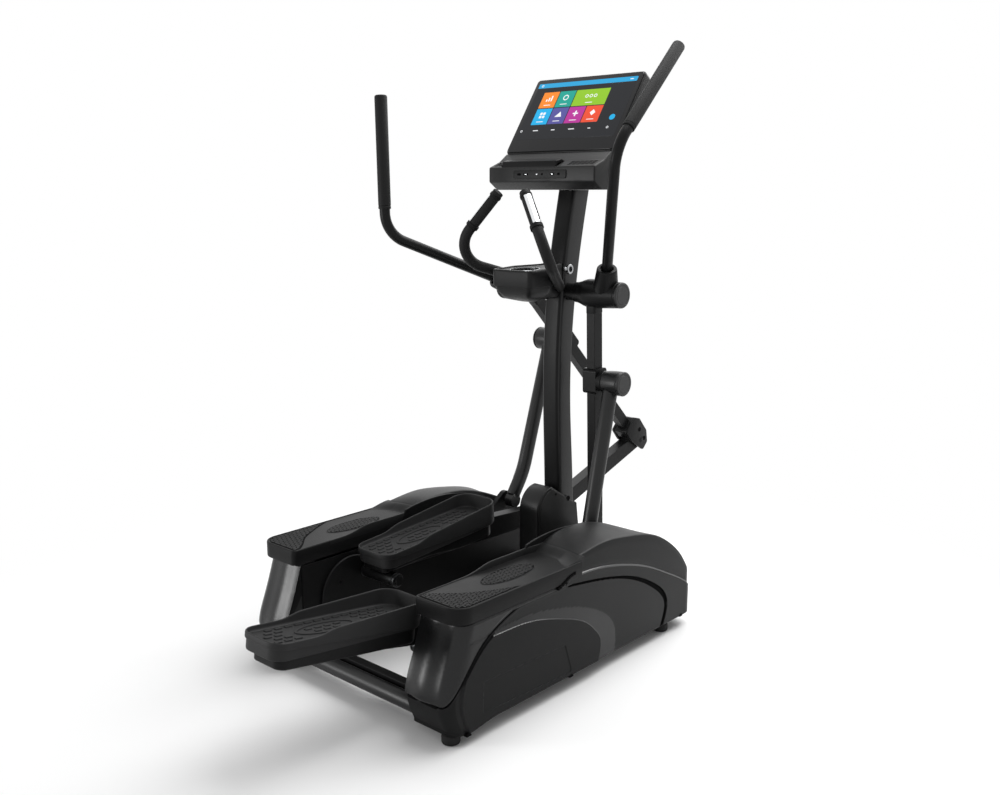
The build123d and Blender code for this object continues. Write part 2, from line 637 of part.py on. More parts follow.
def rear_body():
    """The rear pillar under the deck, with the lining of the skirt."""
    body = rear_shape(PILLAR_INSET) - rear_shape(SKIN + SHELL) - plain_skin()
    body &= block((HOUSING_INNER_X + PANEL, HOUSING_OUTER_X), (SEAM[-1][0], DECK_FRONT_Y), (0, DECK_TOP))
    return body - bar(0, BEAM_END, REAR_TUBE_Y, REAR_TUBE_Z, REAR_TUBE_RADIUS + SIDE_GAP)


def deck():
    """The step deck: a shallow tray turned over, with a band round its edge."""
    face = rectangle((HOUSING_INNER_X, HOUSING_OUTER_X), (DECK_REAR_Y, DECK_FRONT_Y))
    face = fillet(face.vertices().group_by(Axis.Y)[0], HOUSING_CORNER)
    solid = extrude(Pos(0, 0, DECK_TOP - DECK_BAND) * face, DECK_BAND)
    solid = chamfer(solid.faces().sort_by(Axis.Z)[-1].edges(), DECK_EDGE)
    return solid - extrude(Pos(0, 0, DECK_TOP - DECK_BAND) * offset(face, -DECK_WALL), DECK_BAND - DECK_FLOOR)


def inner_panel():
    """The flat inner wall, with the bores of the two cranks and the slots over the base frame."""
    wall = block((HOUSING_INNER_X, HOUSING_INNER_X + PANEL), (REAR_PROFILE[-1][0] + SKIN, DECK_FRONT_Y),
                 (HOUSING_BOTTOM, DECK_TOP - DECK_BAND))
    wall += side_cut(hump_outline(0), HOUSING_INNER_X, HOUSING_INNER_X + PANEL)
    for y, z in CRANK_AXLES:
        wall -= bar(0, HOUSING_OUTER_X, y, z, CRANK_AXLE_RADIUS + BEARING_WALL)
    wall -= block((0, HOUSING_OUTER_X), BEAM_Y, BEAM_Z)
    return wall - bar(0, HOUSING_OUTER_X, REAR_TUBE_Y, REAR_TUBE_Z, REAR_TUBE_RADIUS + SIDE_GAP)


def crank_bearings():
    """The bearings that carry the crank axles in the inner walls."""
    rings = []
    for y, z in CRANK_AXLES:
        ring = bar(HOUSING_INNER_X, HOUSING_INNER_X + BEARING_LENGTH, y, z, CRANK_AXLE_RADIUS + BEARING_WALL)
        rings.append(ring - bar(0, HOUSING_OUTER_X, y, z, CRANK_AXLE_RADIUS + RUNNING_FIT))
    return Compound(rings + [mirror(ring, about=Plane.YZ) for ring in rings])


# Base frame

def box_tube(xs, ys, zs, inset):
    """A box between limits that are all drawn in by an inset, except along its open axis X or Y."""
    return block((xs[0] + inset[0], xs[1] - inset[0]), (ys[0] + inset[1], ys[1] - inset[1]),
                 (zs[0] + inset[2], zs[1] - inset[2]))


def side_rails():
    """The box rails inside the housings, between the rear tube and the front beam."""
    limits = (RAIL_X, (REAR_TUBE_Y, BEAM_Y[0]), RAIL_Z)
    rail = box_tube(*limits, (0, 0, 0)) - box_tube(*limits, (BASE_WALL, -CUT_PAST, BASE_WALL))
    return both_sides(rail - bar(0, HOUSING_OUTER_X, REAR_TUBE_Y, REAR_TUBE_Z, REAR_TUBE_RADIUS))


def rear_cross_tube():
    """The round tube across the rear."""
    end = REAR_TUBE_END
    outer = bar(-end, end, REAR_TUBE_Y, REAR_TUBE_Z, REAR_TUBE_RADIUS)
    bore = REAR_TUBE_RADIUS - BASE_WALL
    return outer - bar(-end - CUT_PAST, end + CUT_PAST, REAR_TUBE_Y, REAR_TUBE_Z, bore)


def front_cross_beam():
    """The box beam across the front, under the mast."""
    limits = ((-BEAM_END, BEAM_END), BEAM_Y, BEAM_Z)
    beam = box_tube(*limits, (0, 0, 0))
    beam = chamfer(beam.edges().filter_by(Axis.X), BEAM_CORNER)
    return beam - box_tube(*limits, (-CUT_PAST, BASE_WALL, BASE_WALL))


def levelling_feet():
    """Four rubber feet on short studs."""
    feet = []
    for y, seat in ((REAR_TUBE_Y, REAR_TUBE_Z - REAR_TUBE_RADIUS), (FRONT_FOOT_Y, BEAM_Z[0])):
        foot = Pos(FOOT_X, y, FOOT_HEIGHT / 2) * Cylinder(FOOT_RADIUS, FOOT_HEIGHT)
        foot = chamfer(foot.edges().group_by(Axis.Z)[0], FOOT_EDGE)
        foot += Pos(FOOT_X, y, (FOOT_HEIGHT + seat) / 2) * Cylinder(STUD_RADIUS, seat - FOOT_HEIGHT)
        feet += [foot, mirror(foot, about=Plane.YZ)]
    return Compound(feet)


# Mast and its cover

def mast_outline(wall):
    """The mast's bowed side outline, or the room inside its wall."""
    rear = [(y + wall, z) for y, z in MAST_REAR]
    front = [(y - wall, z) for y, z in MAST_FRONT]
    edge = Spline(*rear) + Line(rear[-1], front[-1]) + Spline(*front) + Line(front[0], rear[0])
    return make_face(edge)


def mast():
    """The bowed hollow mast, with the bore of the upper axle."""
    post = side_cut(mast_outline(0), -MAST_HALF_WIDTH, MAST_HALF_WIDTH)
    inner = MAST_HALF_WIDTH - MAST_WALL
    post -= side_cut(mast_outline(MAST_WALL), -inner, inner)
    return post - bar(-HUB_OUTER_X, HUB_OUTER_X, AXLE_Y, AXLE_Z, AXLE_RADIUS)


def mast_base_cover():
    """The rounded cover round the foot of the mast."""
    outline = rectangle((COVER_REAR_Y, COVER_FRONT_Y), (BEAM_Z[1], COVER_TOP))
    outline = fillet(outline.vertices().group_by(Axis.Y)[-1], COVER_TOP_CORNER)
    cover = side_cut(outline, -COVER_HALF_WIDTH, COVER_HALF_WIDTH)
    cover = chamfer(cover.faces().filter_by(Axis.X).edges().filter_by_position(
        Axis.Z, BEAM_Z[1] + CUT_PAST, COVER_TOP + CUT_PAST), COVER_EDGE)
    side = MAST_HALF_WIDTH + SIDE_GAP
    return cover - side_cut(mast_outline(-SIDE_GAP), -side, side)


def upper_axle():
    """The fixed axle through the mast, with its collars."""
    end = HUB_OUTER_X - CUT_PAST
    axle = bar(-end, end, AXLE_Y, AXLE_Z, AXLE_RADIUS)
    for x in (-HUB_INNER_X + SIDE_GAP, MAST_HALF_WIDTH):
        axle += bar(x, x + HUB_INNER_X - SIDE_GAP - MAST_HALF_WIDTH, AXLE_Y, AXLE_Z, COLLAR_RADIUS)
    return axle


# Console, with the screen's plane facing the user

def screen_plane():
    """The plane of the screen's front, from the middle of its lower edge."""
    lean = radians(SCREEN_LEAN)
    origin = (0, SCREEN_FOOT[0], MAST_TOP + SCREEN_FOOT[1])
    return Plane(origin=origin, x_dir=(1, 0, 0), z_dir=(0, -cos(lean), sin(lean)))


def screen_slab(margin, depth0, depth1):
    """A rounded slab parallel to the screen, between two depths."""
    width, height = SCREEN_SIZE
    outline = RectangleRounded(width + 2 * margin, height + 2 * margin, SCREEN_CORNER + margin)
    return screen_plane() * extrude(Pos(0, height / 2, depth0) * outline, depth1 - depth0)


def screen_body():
    """The screen's housing."""
    return screen_slab(SCREEN_MARGIN, -GLASS - SCREEN_BODY, -GLASS)


def screen_glass():
    """The screen's front glass."""
    return screen_slab(0, -GLASS, 0)


def console_base():
    """The lower console: control face, sloped top, the wedge behind the screen and the neck."""
    plane = screen_plane()
    back = -GLASS - SCREEN_BODY
    seat = [plane.from_local_coords((0, y, z))
            for y, z in ((-SCREEN_MARGIN, -GLASS), (-SCREEN_MARGIN, back), (WEDGE_HEIGHT, back))]
    seat = [(point.Y, point.Z) for point in seat]
    front = [(CONSOLE_FRONT_Y, MAST_TOP + rise) for rise in CONSOLE_FACE_RISE]
    front.append((CONSOLE_BREAK[0], MAST_TOP + CONSOLE_BREAK[1]))
    under = [(y, MAST_TOP) for y in reversed(CONSOLE_UNDER_Y)]
    body = side_cut(polygon(front + seat + under), -CONSOLE_HALF_WIDTH, CONSOLE_HALF_WIDTH)
    neck = polygon([(NECK_Y[0], MAST_TOP), seat[1], seat[2], (NECK_Y[1], MAST_TOP + NECK_RISE),
                    (NECK_Y[1], MAST_TOP)])
    return body + side_cut(neck, -NECK_HALF_WIDTH, NECK_HALF_WIDTH)


def reading_ledge():
    """The narrow ledge that holds a book against the screen."""
    run = CONSOLE_BREAK[0] - CONSOLE_FRONT_Y
    slope = (CONSOLE_BREAK[1] - CONSOLE_FACE_RISE[1]) / run
    face_top = MAST_TOP + CONSOLE_FACE_RISE[1]
    near, far = LEDGE_SET, run - LEDGE_SET
    points = [(near, near * slope), (far, far * slope), (near + 18, LEDGE_RISE), (near + 8, LEDGE_RISE)]
    return side_cut(polygon([(CONSOLE_FRONT_Y + y, face_top + z) for y, z in points]), *LEDGE_X)


def port_strip():
    """The strip of ports and keys on the control face."""
    zs = (MAST_TOP + CONSOLE_FACE_RISE[0] + STRIP_MARGIN, MAST_TOP + CONSOLE_FACE_RISE[1] - STRIP_MARGIN)
    ys = (CONSOLE_FRONT_Y - STRIP_THICKNESS, CONSOLE_FRONT_Y)
    strip = block((-STRIP_HALF_WIDTH, STRIP_HALF_WIDTH), ys, zs)
    strip = fillet(strip.edges().filter_by(Axis.Y), STRIP_CORNER)
    width, height = SOCKET_SIZE
    for x in SOCKET_SPOTS:
        strip -= Pos(x, ys[0], sum(zs) / 2) * Box(width, STRIP_THICKNESS, height)
    return strip


def cup_holder():
    """The tray on the mast, with a round well for a bottle, moulded round the fixed handles."""
    sections = [polygon(half + [(-x, y) for x, y in reversed(half)]) for half in (CUP_FOOT, CUP_HEAD)]
    body = loft([Pos(0, 0, z) * face for z, face in zip(CUP_Z, sections)])
    body -= side_cut(mast_outline(0), -CUP_RADIUS, CUP_RADIUS)
    channel = bent_bar(FIXED_TOP, FIXED_BEND, FIXED_END, FIXED_BEND_RADIUS, FIXED_RADIUS + SIDE_GAP)
    body -= channel
    body -= mirror(channel, about=Plane.YZ)
    well = (CUP_Z[0] + CUP_FLOOR, CUP_Z[1] + CUT_PAST)
    return body - Pos(0, CUP_Y, sum(well) / 2) * Cylinder(CUP_RADIUS, well[1] - well[0])


def fixed_handle():
    """The fixed handle on the right of the mast, closed and cut to the mast's rear face."""
    handle = bent_bar(FIXED_TOP, FIXED_BEND, FIXED_END, FIXED_BEND_RADIUS, FIXED_RADIUS)
    return handle - side_cut(mast_outline(0), -HUB_INNER_X, HUB_INNER_X)


def pulse_sensors():
    """The metal sensor sleeves on the fixed handles' upper runs."""
    axis = (FIXED_BEND - FIXED_TOP).normalized()
    near, far = SENSOR_RUN
    sleeve = along(FIXED_TOP, axis, near, far, FIXED_RADIUS + SENSOR_WALL)
    return both_sides(sleeve - along(FIXED_TOP, axis, near - CUT_PAST, far + CUT_PAST, FIXED_RADIUS))


# The right side stands at the rear end of the stride, the left side at the front end
lever_places = (swing(REAR_SWING), swing(FRONT_SWING))
for build in (lever_tube, lever_hub, handlebar, hand_grip, pivot_caps, mid_clamp, knuckle, knuckle_pin):
    paired(build.__name__, build(), *lever_places)

rod_places = (rod_place(REAR_SWING, REAR_ROD_LEAN), rod_place(FRONT_SWING, FRONT_ROD_LEAN))
paired("drive_rod", drive_rod(), *rod_places)

arm_places = (arm_place(REAR_SWING, REAR_PEDAL_TILT), arm_place(FRONT_SWING, FRONT_PEDAL_TILT))
for build in (pedal_arm, pedal_tray, pedal_pad, pedal_base):
    paired(build.__name__, build(), *arm_places)

front_axle = Pos(0, CRANK_Y, CRANK_Z)
paired("front_crank", front_crank(), front_axle * Rot(X=CRANK_START), front_axle * Rot(X=CRANK_START + 180))
rear_axle = Pos(0, REAR_CRANK_Y, REAR_CRANK_Z)
rear_places = (rear_axle * Rot(X=REAR_CRANK_START), rear_axle * Rot(X=REAR_CRANK_START + 180))
for build in (rear_crank, roller):
    paired(build.__name__, build(), *rear_places)

for build in (side_panel, hump, rear_body, deck, inner_panel, fixed_handle):
    paired(build.__name__, build())

for build in (rear_cross_tube, front_cross_beam, side_rails, levelling_feet, crank_bearings, mast,
              mast_base_cover, upper_axle, console_base, reading_ledge, port_strip, cup_holder,
              pulse_sensors, screen_body, screen_glass):
    nodes[build.__name__] = build()

os.makedirs("parts", exist_ok=True)
for name, solid in nodes.items():
    export_step(Pos(0, -MIDDLE_Y, 0) * solid, f"parts/{name}.step")
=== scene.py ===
"""Looks of an elliptical trainer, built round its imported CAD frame.

Every piece is drawn in millimetres in the frame of what carries it, and placed in metres in the machine's
frame. Paired pieces are drawn once, for the right; the left ones are their mirror images at the other end of
the stride.
"""

import json
from functools import cache
from math import cos, hypot, pi, radians, sin, tan

import bmesh
import bpy
import numpy as np
from bpy.props import FloatProperty, FloatVectorProperty, PointerProperty
from mathutils import Matrix, Vector


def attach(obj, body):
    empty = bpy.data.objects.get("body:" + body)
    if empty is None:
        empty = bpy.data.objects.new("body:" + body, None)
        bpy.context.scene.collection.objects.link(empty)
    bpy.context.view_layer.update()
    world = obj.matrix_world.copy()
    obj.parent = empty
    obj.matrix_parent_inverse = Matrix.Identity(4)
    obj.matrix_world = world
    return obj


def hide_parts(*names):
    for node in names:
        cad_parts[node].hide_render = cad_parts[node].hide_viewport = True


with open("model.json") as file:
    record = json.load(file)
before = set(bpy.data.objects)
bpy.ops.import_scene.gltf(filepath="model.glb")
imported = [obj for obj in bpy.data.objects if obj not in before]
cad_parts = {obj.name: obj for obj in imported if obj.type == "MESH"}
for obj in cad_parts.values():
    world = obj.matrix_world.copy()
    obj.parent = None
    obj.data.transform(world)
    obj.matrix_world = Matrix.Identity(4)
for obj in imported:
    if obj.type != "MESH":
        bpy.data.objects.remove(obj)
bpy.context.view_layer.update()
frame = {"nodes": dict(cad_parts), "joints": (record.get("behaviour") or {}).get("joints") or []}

bl_info = {
    "name": "Elliptical Trainer",
    "version": (1, 0, 0),
    "blender": (4, 5, 0),
    "location": "View3D > Sidebar > Trainer",
    "description": "Finishes, mouldings and screen of an elliptical trainer",
    "category": "Object",
}

MM = 0.001
# How far the drawing's origin lies ahead of the machine's, in millimetres
DRAWING_SHIFT = 16.9
SIDES = ("right", "left")
SWING = {"right": 2.0, "left": 45.35}
PEDAL_TILT = {"right": -7.0, "left": 4.5}
PIVOTS = {joint["name"]: Vector(joint["pos_m"]) for joint in frame["joints"]}


# Settings

def tint(name, description, default):
    return FloatVectorProperty(name=name, description=description, default=default, subtype="COLOR", min=0,
                               max=1)


def length(name, description, default):
    return FloatProperty(name=name, description=description, default=default * MM, min=0, subtype="DISTANCE",
                         unit="LENGTH", precision=4)


def power(name, description, default):
    return FloatProperty(name=name, description=description, default=default, min=0, subtype="POWER",
                         unit="POWER")


class FinishSettings(bpy.types.PropertyGroup):
    """Colours of the machine's finishes."""

    shell: tint("Shell", "Moulded plastic of the side housings and covers", (0.0085, 0.0086, 0.0088))
    pillar: tint("Pillar", "Glossier plastic of the rear pillars", (0.006, 0.0061, 0.0064))
    band: tint("Deck band", "Darker plastic round the step decks", (0.005, 0.005, 0.0052))
    coat: tint("Powder coat", "Powder coat on the steel frame", (0.0065, 0.0066, 0.0068))
    tread: tint("Tread", "Rubbery plastic underfoot", (0.0115, 0.0115, 0.0118))
    grip: tint("Grip", "Soft sleeves of the handles", (0.0065, 0.0065, 0.0067))
    steel: tint("Steel", "Bare turned steel", (0.42, 0.43, 0.44))
    plate: tint("Sensor plate", "Polished pulse sensors", (0.86, 0.87, 0.88))
    glass: tint("Glass", "Black glass of the screen", (0.006, 0.006, 0.007))


class TreadSettings(bpy.types.PropertyGroup):
    """Sizes of the raised treads."""

    brick_length: length("Brick length", "Length of one raised brick on a step deck", 25.0)
    brick_width: length("Brick width", "Width of one raised brick on a step deck", 4.5)
    brick_gap: length("Brick gap", "Gap between bricks", 2.2)
    brick_rise: length("Brick rise", "Height of a brick above the deck", 1.7)
    dash_length: length("Dash length", "Length of one raised dash on a pedal", 21.0)
    dash_width: length("Dash width", "Width of one raised dash on a pedal", 12.0)
    dash_gap: length("Dash gap", "Gap between dashes", 7.5)
    dash_rise: length("Dash rise", "Height of a dash above the pad", 2.4)


class ScreenSettings(bpy.types.PropertyGroup):
    """Look of the picture on the screen."""

    glow: FloatProperty(name="Glow", description="Strength of the lit picture", default=0.85, min=0, max=4)
    backdrop: tint("Backdrop", "Ground colour of the picture", (0.014, 0.015, 0.018))
    header: tint("Header", "Bar along the top of the picture", (0.02, 0.33, 0.62))
    mark: tint("Mark", "Small signs on the picture", (0.9, 0.92, 0.95))


class StageSettings(bpy.types.PropertyGroup):
    """Floor and studio light."""

    floor: tint("Floor", "Colour of the floor", (0.88, 0.88, 0.88))
    top_power: power("Top light", "Power of the overhead softbox", 125)
    back_power: power("Back light", "Power of the softbox behind", 23)
    edge_power: power("Edge light", "Power of the softbox in front", 48)
    strip_power: power("Strip light", "Power of the low softbox at the left", 42)
    sky: FloatProperty(name="Sky", description="Strength of the even light all round", default=0.5, min=0)


class TrainerSettings(bpy.types.PropertyGroup):
    """All settings of the trainer."""

    finish: PointerProperty(type=FinishSettings)
    tread: PointerProperty(type=TreadSettings)
    screen: PointerProperty(type=ScreenSettings)
    stage: PointerProperty(type=StageSettings)


def settings():
    return bpy.context.scene.trainer


# Shader expressions

class Wire:
    """A value in a material's nodes: sums and products of wires add their Math nodes."""

    def __init__(self, tree, socket=None):
        self.tree = tree
        self.socket = socket

    def node(self, kind, inputs=None, output=0, **options):
        """Adds any node: its options are set first, then the values or links of its sockets."""
        made = self.tree.nodes.new("ShaderNode" + kind)
        for option, value in options.items():
            setattr(made, option, value)
        for socket, value in (inputs or {}).items():
            if isinstance(value, Wire):
                self.tree.links.new(value.socket, made.inputs[socket])
            else:
                made.inputs[socket].default_value = value
        return Wire(self.tree, made.outputs[output] if made.outputs else None)

    def math(self, operation, *values):
        return self.node("Math", dict(enumerate(values)), operation=operation)

    def __add__(self, other):
        return self.math("ADD", self, other)

    def __sub__(self, other):
        return self.math("SUBTRACT", self, other)

    def __rsub__(self, other):
        return self.math("SUBTRACT", other, self)

    def __mul__(self, other):
        return self.math("MULTIPLY", self, other)

    __radd__ = __add__
    __rmul__ = __mul__

    def step(self, low, high):
        """0 below one limit, 1 above the other, smooth between."""
        return self.node("MapRange", {"Value": self, "From Min": low, "From Max": high},
                         interpolation_type="SMOOTHSTEP")

    def blend(self, first, second):
        """A colour that goes from the first to the second as this value goes from 0 to 1."""
        return self.node("Mix", {0: self, 6: first, 7: second}, output=2, data_type="RGBA")


def shade(colour, factor):
    """A settings colour made lighter or darker, as four numbers."""
    return (*(min(1.0, c * factor) for c in colour), 1.0)


def new_material(name):
    """An empty material, and a wire to build its nodes on."""
    material = bpy.data.materials.new(name)
    material.use_nodes = True
    material.node_tree.nodes.clear()
    return material, Wire(material.node_tree)


def surface(wire, **sockets):
    """Ends a material in its principled shader; underscores in the sockets' names stand for spaces."""
    shader = wire.node("BsdfPrincipled", {name.replace("_", " "): value for name, value in sockets.items()})
    wire.node("OutputMaterial", {"Surface": shader})


def moulding(name, colour, roughness, grain, relief, specular, mottle=0.25):
    """Moulded or coated surface: fine grain in the bump, slow mottling in colour and gloss."""
    material, wire = new_material(name)
    spot = wire.node("TexCoord", output="Object")
    fine = wire.node("TexNoise", {"Vector": spot, "Scale": grain, "Detail": 3.0, "Roughness": 0.6})
    slow = wire.node("TexNoise", {"Vector": spot, "Scale": 7.0, "Detail": 5.0, "Roughness": 0.55})
    speck = wire.node("TexVoronoi", {"Vector": spot, "Scale": grain * 0.55}, output="Distance")
    tone = (slow - 0.5) * mottle + (fine - 0.5) * 0.5 + 0.5
    bump = wire.node("Bump", {"Strength": 0.35, "Distance": relief * MM, "Height": fine + speck * 0.6},
                     output="Normal")
    surface(wire, Base_Color=tone.blend(shade(colour, 0.72), shade(colour, 1.3)),
            Roughness=roughness + (slow - 0.5) * 0.16 + (fine - 0.5) * 0.1, Normal=bump,
            Specular_IOR_Level=specular)
    return material


def turned_steel(name, colour, roughness):
    """Bare or plated metal with fine turning marks."""
    material, wire = new_material(name)
    spot = wire.node("TexCoord", output="Object")
    stretched = wire.node("Mapping", {"Vector": spot, "Scale": (2200.0, 60.0, 60.0)})
    marks = wire.node("TexNoise", {"Vector": stretched, "Scale": 1.0, "Detail": 4.0})
    cloud = wire.node("TexNoise", {"Vector": spot, "Scale": 30.0, "Detail": 3.0})
    bump = wire.node("Bump", {"Strength": 0.12, "Distance": 0.05 * MM, "Height": marks}, output="Normal")
    surface(wire, Base_Color=(marks * 0.6 + cloud * 0.4).blend(shade(colour, 0.85), shade(colour, 1.08)),
            Roughness=roughness + (marks - 0.5) * 0.14 + (cloud - 0.5) * 0.1, Metallic=1.0, Normal=bump)
    return material


def lit(name, colour):
    """A patch of the lit picture, a little brighter towards its top."""
    material, wire = new_material(name)
    spot = wire.node("TexCoord", output="Generated")
    high = wire.node("SeparateXYZ", {"Vector": spot}, output="Z")
    fleck = wire.node("TexNoise", {"Vector": spot, "Scale": 5.0, "Detail": 2.0})
    level = high * 0.7 + fleck * 0.3
    surface(wire, Base_Color=shade(colour, 0.25), Roughness=0.12,
            Emission_Color=level.blend(shade(colour, 0.88), shade(colour, 1.12)),
            Emission_Strength=settings().screen.glow, Specular_IOR_Level=0.18)
    return material


# Each moulded finish has its material's name, a colour of the settings and how much lighter it is, its
# roughness, the grain's scale, the relief in millimetres, the specular level and, if unusual, the mottling.
MOULDED = {
    "shell": ("housing_shell", "shell", 1.0, 0.40, 1500, 0.25, 0.15),
    # Lit and shaded copies of the shell for the side panels: a lighter painted sheen, a darker painted shade
    # (also finer grained) and a painted highlight for edges
    "shell_high": ("housing_sheen", "shell", 1.25, 0.38, 1500, 0.25, 0.30),
    "shell_low": ("housing_fine", "shell", 0.8, 0.42, 1700, 0.25, 0.11),
    "shell_edge": ("housing_edge", "shell", 1.6, 0.26, 1500, 0.10, 0.80),
    "console": ("console_shell", "shell", 1.0, 0.40, 1500, 0.25, 0.24),
    "cap": ("pivot_cap", "shell", 1.4, 0.42, 1500, 0.20, 0.40),
    "pillar": ("pillar_gloss", "pillar", 1.0, 0.27, 1700, 0.08, 0.30),
    "band": ("deck_band", "band", 1.0, 0.44, 1500, 0.25, 0.12),
    "bezel": ("screen_bezel", "band", 1.0, 0.36, 1800, 0.15, 0.20),
    # Near-black: painted shade in the groove, notches, slits, sockets, slots and between tread bricks, and
    # the own colour of the knuckles' bolt heads
    "hollow": ("dark_hollow", "band", 0.4, 0.80, 900, 0.30, 0.05),
    "coat": ("powder_coat", "coat", 1.0, 0.36, 900, 0.30, 0.13),
    # A lighter, glossier copy of the coat: painted sheen on parts and faces that catch the light
    "coat_side": ("powder_coat_side", "coat", 1.3, 0.36, 900, 0.30, 0.32),
    "tread": ("tread_plastic", "tread", 1.0, 0.55, 1300, 0.40, 0.24, 0.4),
    "rubber": ("foot_rubber", "tread", 1.0, 0.70, 1000, 0.45, 0.20, 0.4),
    "grip": ("grip_sleeve", "grip", 1.0, 0.58, 800, 0.50, 0.18),
    "glass": ("screen_glass", "glass", 1.0, 0.10, 2000, 0.01, 0.30),
}
# Each metal has its material's name, a colour of the settings and how much lighter it is, and its roughness.
METALS = {
    "steel": ("turned_steel", "steel", 1.0, 0.32),
    "plate": ("sensor_plate", "plate", 1.0, 0.16),
    "dark_steel": ("dark_steel", "steel", 0.12, 0.38),
}


@cache
def finish(name):
    """One of the machine's finishes, made the first time it is asked for."""
    maker, table = (moulding, MOULDED) if name in MOULDED else (turned_steel, METALS)
    title, colour, lightness, *look = table[name]
    return maker(title, shade(getattr(settings().finish, colour), lightness)[:3], *look)


# Drawing

def spline(points, count):
    """Points along the natural cubic curve through the given ones."""
    knots = np.array(points, float)
    run = np.concatenate([[0], np.cumsum(np.linalg.norm(np.diff(knots, axis=0), axis=1))])
    gap = np.diff(run)
    matrix = np.eye(len(knots))
    right = np.zeros_like(knots)
    for i in range(1, len(knots) - 1):
        matrix[i, i - 1:i + 2] = gap[i - 1], 2 * (gap[i - 1] + gap[i]), gap[i]
        right[i] = 6 * ((knots[i + 1] - knots[i]) / gap[i] - (knots[i] - knots[i - 1]) / gap[i - 1])
    curve = np.linalg.solve(matrix, right)
    at = np.linspace(0, run[-1], count)
    i = np.clip(np.searchsorted(run, at) - 1, 0, len(gap) - 1)
    step = gap[i][:, None]
    near, far = (at - run[i])[:, None], (run[i + 1] - at)[:, None]
    bend = (curve[i] * far ** 3 + curve[i + 1] * near ** 3) / (6 * step)
    slope_far, slope_near = (knots[k] / step - curve[k] * step / 6 for k in (i, i + 1))
    return bend + (slope_far * far + slope_near * near)


def smooth(low, high, value):
    """0 below one limit, 1 above the other, smooth between."""
    share = np.clip((value - low) / (high - low), 0, 1)
    return share * share * (3 - 2 * share)


def read_off(line, value, axis=0):
    """The other coordinate of a line of points where the one along the axis has a value."""
    return np.interp(value, line[:, axis], line[:, 1 - axis])


def closed(outline):
    """An outline as a line that ends where it starts."""
    return np.array([*outline, outline[0]])


def oval(centre, half, count):
    turns = np.linspace(0, 2 * pi, count + 1)[:-1]
    return [(centre[0] + half[0] * cos(a), centre[1] + half[1] * sin(a)) for a in turns]


def offsets(points, line):
    """Distance of each point from a line of short runs, negative on its right-hand side."""
    start, run = line[:-1], np.diff(line, axis=0)
    away = points[:, None, :] - start
    share = np.clip((away * run).sum(2) / (run * run).sum(1), 0, 1)
    gap = away - share[:, :, None] * run
    distance = np.linalg.norm(gap, axis=2)
    nearest = distance.argmin(1)
    rows = np.arange(len(points))
    cross = run[nearest, 0] * away[rows, nearest, 1] - run[nearest, 1] * away[rows, nearest, 0]
    return distance[rows, nearest] * np.where(cross < 0, -1, 1)


def rounded(points, radius, steps=6):
    """A closed outline with its corners rounded, each by its own radius or all by one."""
    radii = radius if hasattr(radius, "__len__") else [radius] * len(points)
    outline = []
    for i, corner in enumerate(points):
        corner = Vector(corner)
        before, after = Vector(points[i - 1]) - corner, Vector(points[(i + 1) % len(points)]) - corner
        if radii[i] <= 0:
            outline.append(tuple(corner))
            continue
        half = before.angle(after) / 2
        reach = min(radii[i] / tan(half), 0.49 * before.length, 0.49 * after.length)
        inner = reach * tan(half)
        centre = corner + (before.normalized() + after.normalized()).normalized() * (inner / sin(half))
        first = corner + before.normalized() * reach - centre
        last = corner + after.normalized() * reach - centre
        for k in range(steps + 1):
            outline.append(tuple(centre + first.slerp(last, k / steps) * inner))
    return outline


def rectangle(us, vs):
    return [(us[0], vs[0]), (us[1], vs[0]), (us[1], vs[1]), (us[0], vs[1])]


def inset(outline, distance):
    """A closed outline drawn in by a distance."""
    points = np.array(outline, float)
    ahead = np.roll(points, -1, 0) - points
    ahead /= np.linalg.norm(ahead, axis=1)[:, None]
    across = np.stack([-ahead[:, 1], ahead[:, 0]], 1)
    middle = across + np.roll(across, 1, 0)
    middle /= np.linalg.norm(middle, axis=1)[:, None]
    area = np.cross(points, np.roll(points, -1, 0)).sum()
    share = np.maximum((middle * across).sum(1), 0.4)
    return points + middle * (np.sign(area) * distance / share)[:, None]


def bent(points, radius, steps=12):
    """A path in space with its corners turned into arcs."""
    points = [Vector(p) for p in points]
    path = [points[0]]
    for before, corner, after in zip(points, points[1:], points[2:]):
        back, on = (before - corner).normalized(), (after - corner).normalized()
        half = back.angle(on) / 2
        reach = radius / tan(half)
        centre = corner + (back + on).normalized() * (radius / sin(half))
        first, last = corner + back * reach - centre, corner + on * reach - centre
        path += [centre + first.slerp(last, k / steps) * radius for k in range(steps + 1)]
    return path + [points[-1]]


def circle(centre, axis, radius, sides, start=None):
    """A ring of points round an axis, and the direction it starts from."""
    axis = axis.normalized()
    if start is None:
        start = axis.orthogonal()
    start = (start - axis * start.dot(axis)).normalized()
    other = axis.cross(start)
    turns = [2 * pi * k / sides for k in range(sides)]
    return [centre + (start * cos(t) + other * sin(t)) * radius for t in turns], start


